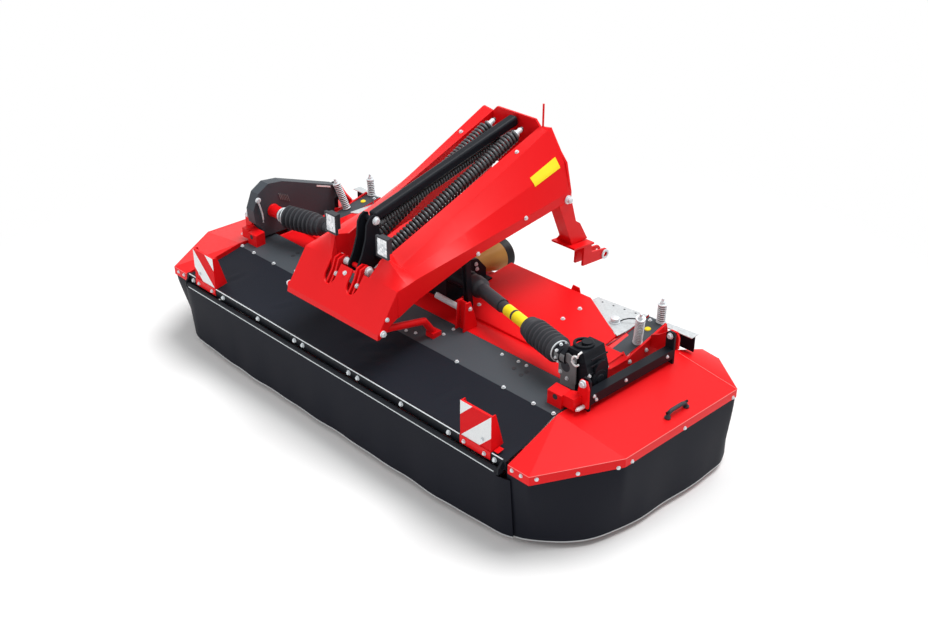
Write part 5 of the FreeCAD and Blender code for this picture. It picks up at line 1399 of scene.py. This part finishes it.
# %% Fittings of the belt housing
LOUVRES, LOUVRE_PITCH, LOUVRE_STEP = 6, 11, 5
lever = Shape()
lever.wire([(-1087, place, height) for place, height in
            ((424, 735), (418, 722), (424, 708), (432, 680), (440, 645), (444, 610), (443, 592))],
           4.5)
lever.turned((-1094, 424, 722), (-1082, 424, 722), ((0, 0), (0, 15), (8, 15), (12, 10), (12, 0)))
add_piece("belt_housing_lever", lever.mesh(), "frame", zinc)
louvres = Shape()
for index in range(LOUVRES):
    place, fall = 556 + index * LOUVRE_PITCH, index * LOUVRE_STEP
    louvres.slab(((-1094, place, 724 - fall), (-1094, place + 5, 724 - fall),
                  (-1094, place + 17, 684 - fall), (-1094, place + 12, 684 - fall)), (3, 0, 0))
add_piece("belt_housing_louvres", louvres.mesh(0.5), "frame", cast_grey)
strip = Shape().slab([(-1094.5, place, height) for place, height in
                      ((812, 690), (905, 659), (905, 668), (812, 699))], (2, 0, 0))
add_piece("belt_housing_strip", strip.mesh(), "frame", white_plate)
print("belt housing fitted")

# %% [markdown]
# On each galvanised plate a black rod latches the cover, held by a round clamp. Thin black
# discs lie over the small holes in the deck, in the galvanised plates and in the covers' brackets
# as painted shade for the dark inside of each hole, and a rubber wiper hangs behind each plate.

# %% Latches, painted hole shade and wipers
DECK_HOLES = ((829, 437), (831, 469), (771, 453))
DECK_SLOPE = 0.09
REAR_HOLES = 6
latch, clamps, holes, wipers = Shape(), Shape(), Shape(), Shape()
for side, word in SIDES:
    for shape in (latch, clamps, holes, wipers):
        shape.side = side
    latch.wire(((884, 1036, 549), (896, 1046, 559), (915, 1061, 566), (936, 1078, 567),
                (957, 1093, 562)), 3.2)
    clamps.turned((868, 1019, 545), (868, 1019, 572),
                  ((0, 26), (5, 26), (6, 15), (16, 15), (17, 22), (23, 22), (27, 12), (27, 0)))
    # Black discs over the holes are painted shade for their dark insides.
    for across, place in DECK_HOLES:
        low = spot(side * across, place, 488.6 + (place - 453) * DECK_SLOPE)
        holes.turned(low - DECK_UP * MM, low + DECK_UP * MM, ((0, 11), (1.6, 11), (1.6, 0)))
    for index in range(REAR_HOLES):
        across, place = 700 + 60 * index, 1128 + 9 * index
        holes.turned((across, place, 545), (across, place, 546), ((0, 5), (0.6, 5), (0.6, 0)))
    holes.turned((1094, 365.5, 528), (1094, 364.2, 528), ((0, 13), (1.3, 13), (1.3, 0)))
    wipers.block((1088, 1180.5, 459), (1202, 1183.5, 474))
add_piece("latch_rods", latch.mesh(), "frame", black_plastic)
add_piece("latch_clamps", clamps.mesh(0.6), "frame", zinc)
add_piece("hole_plugs", holes.mesh(), "frame", black_plastic)
add_piece("plate_wipers", wipers.mesh(0.5), "frame", curtain_rubber, slot="rubber")
print("latches, plugs and wipers ready")

# %% [markdown]
# The stage is a pale floor that fades into its own glow away from the machine. The glow is only
# for rays that look at the background: those of the camera, those mirrored in glossy paint and
# those through glass. All other light sees plain paper, so the soft shadow stays.

# %% Floor
FLOOR_HALF, FLOOR_DROP = 30.0, 0.0005
FADE_FROM, FADE_TO = 1.8, 3.3


def background_rays(tree):
    """1 for what the camera sees, straight, mirrored or through glass, and 0 for other light."""
    camera_ray, glossy_ray, through_ray = (
        add_node(tree, "ShaderNodeLightPath", f"Is {kind} Ray")
        for kind in ("Camera", "Glossy", "Transmission"))
    return camera_ray | glossy_ray | through_ray


floor_shape = bmesh.new()
bmesh.ops.create_grid(floor_shape, x_segments=1, y_segments=1, size=FLOOR_HALF)
floor_mesh = bpy.data.meshes.new("floor")
floor_shape.to_mesh(floor_mesh)
floor_shape.free()
floor = in_scene("floor", floor_mesh)
floor.location.z = -FLOOR_DROP
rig.stage(floor)
paper = Finish("floor_paper", roughness=0.9, sheen=0.0)
paper.set(Base_Color=(0.93, 0.93, 0.93))
away = paper.node("ShaderNodeVectorMath", "Value", {0: paper.place}, operation="LENGTH")
far = paper.node("ShaderNodeMapRange", 0, {"Value": away, "From Min": FADE_FROM,
                                           "From Max": FADE_TO, "To Min": 0.04, "To Max": 1.0},
                 interpolation_type="SMOOTHSTEP")
glow = paper.node("ShaderNodeEmission", 0, {"Color": (1.0, 1.0, 1.0), "Strength": 1.0})
lit = Wire(paper.tree, paper.shader.outputs[0])
seen = paper.node("ShaderNodeMixShader", 0,
                  {0: background_rays(paper.tree) * far, 1: lit, 2: glow})
feed(paper.tree, paper.tree.nodes["Material Output"].inputs["Surface"], seen)
floor_mesh.materials.append(paper.material)
print("floor fades from", FADE_FROM, "to", FADE_TO, "m")

# %% [markdown]
# Light. The paint should read as its own colour, so the world gives an even level and three
# soft lamps shape the panels: a sun from above and behind, which draws the shadow forwards over
# the floor, a large lamp overhead, and a weaker one in front that fills the shaded faces.

# %% World and lamps
WORLD_LEVEL, SEEN_LEVEL = 0.44, 1.0
world = bpy.data.worlds.new("studio")
bpy.context.scene.world = world
world.use_nodes = True
sky = world.node_tree
background = sky.nodes["Background"]
feed(sky, background.inputs["Color"], (1.0, 1.0, 1.0))
feed(sky, background.inputs["Strength"],
     background_rays(sky) * (SEEN_LEVEL - WORLD_LEVEL) + WORLD_LEVEL)
# name, kind, place, aimed at, strength, width of the lamp or spread of the sun
LAMPS = (("key", "SUN", (0.7, 1.9, 4.8), (0, 0, 0), 2.3, 0.6),
         ("overhead", "AREA", (0.3, 0.4, 4.6), (0, 0, 0), 45.0, 4.0),
         ("front_fill", "AREA", (-1.5, -5.0, 3.0), (0, 0, 0.5), 52.0, 3.0))
for name, kind, place, aim_at, strength, width in LAMPS:
    light = bpy.data.lights.new(name, kind)
    light.energy = strength
    setattr(light, "angle" if kind == "SUN" else "size", width)
    lamp = in_scene(name, light)
    lamp.location = place
    lamp.rotation_euler = (Vector(aim_at) - Vector(place)).to_track_quat("-Z", "Y").to_euler()
print("lamps:", [row[0] for row in LAMPS])

# %% [markdown]
# Last, the machine's size before and after dressing goes into a small file. Dressing should
# add only the depth of a bolt head or a curtain, so the two boxes have to be almost the same.

with open("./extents.json", "w") as report:
    json.dump({"cad": [list(corner) for corner in CAD_BOX],
               "dressed": [list(corner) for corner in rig.bounds()]}, report)
print(open("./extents.json").read())
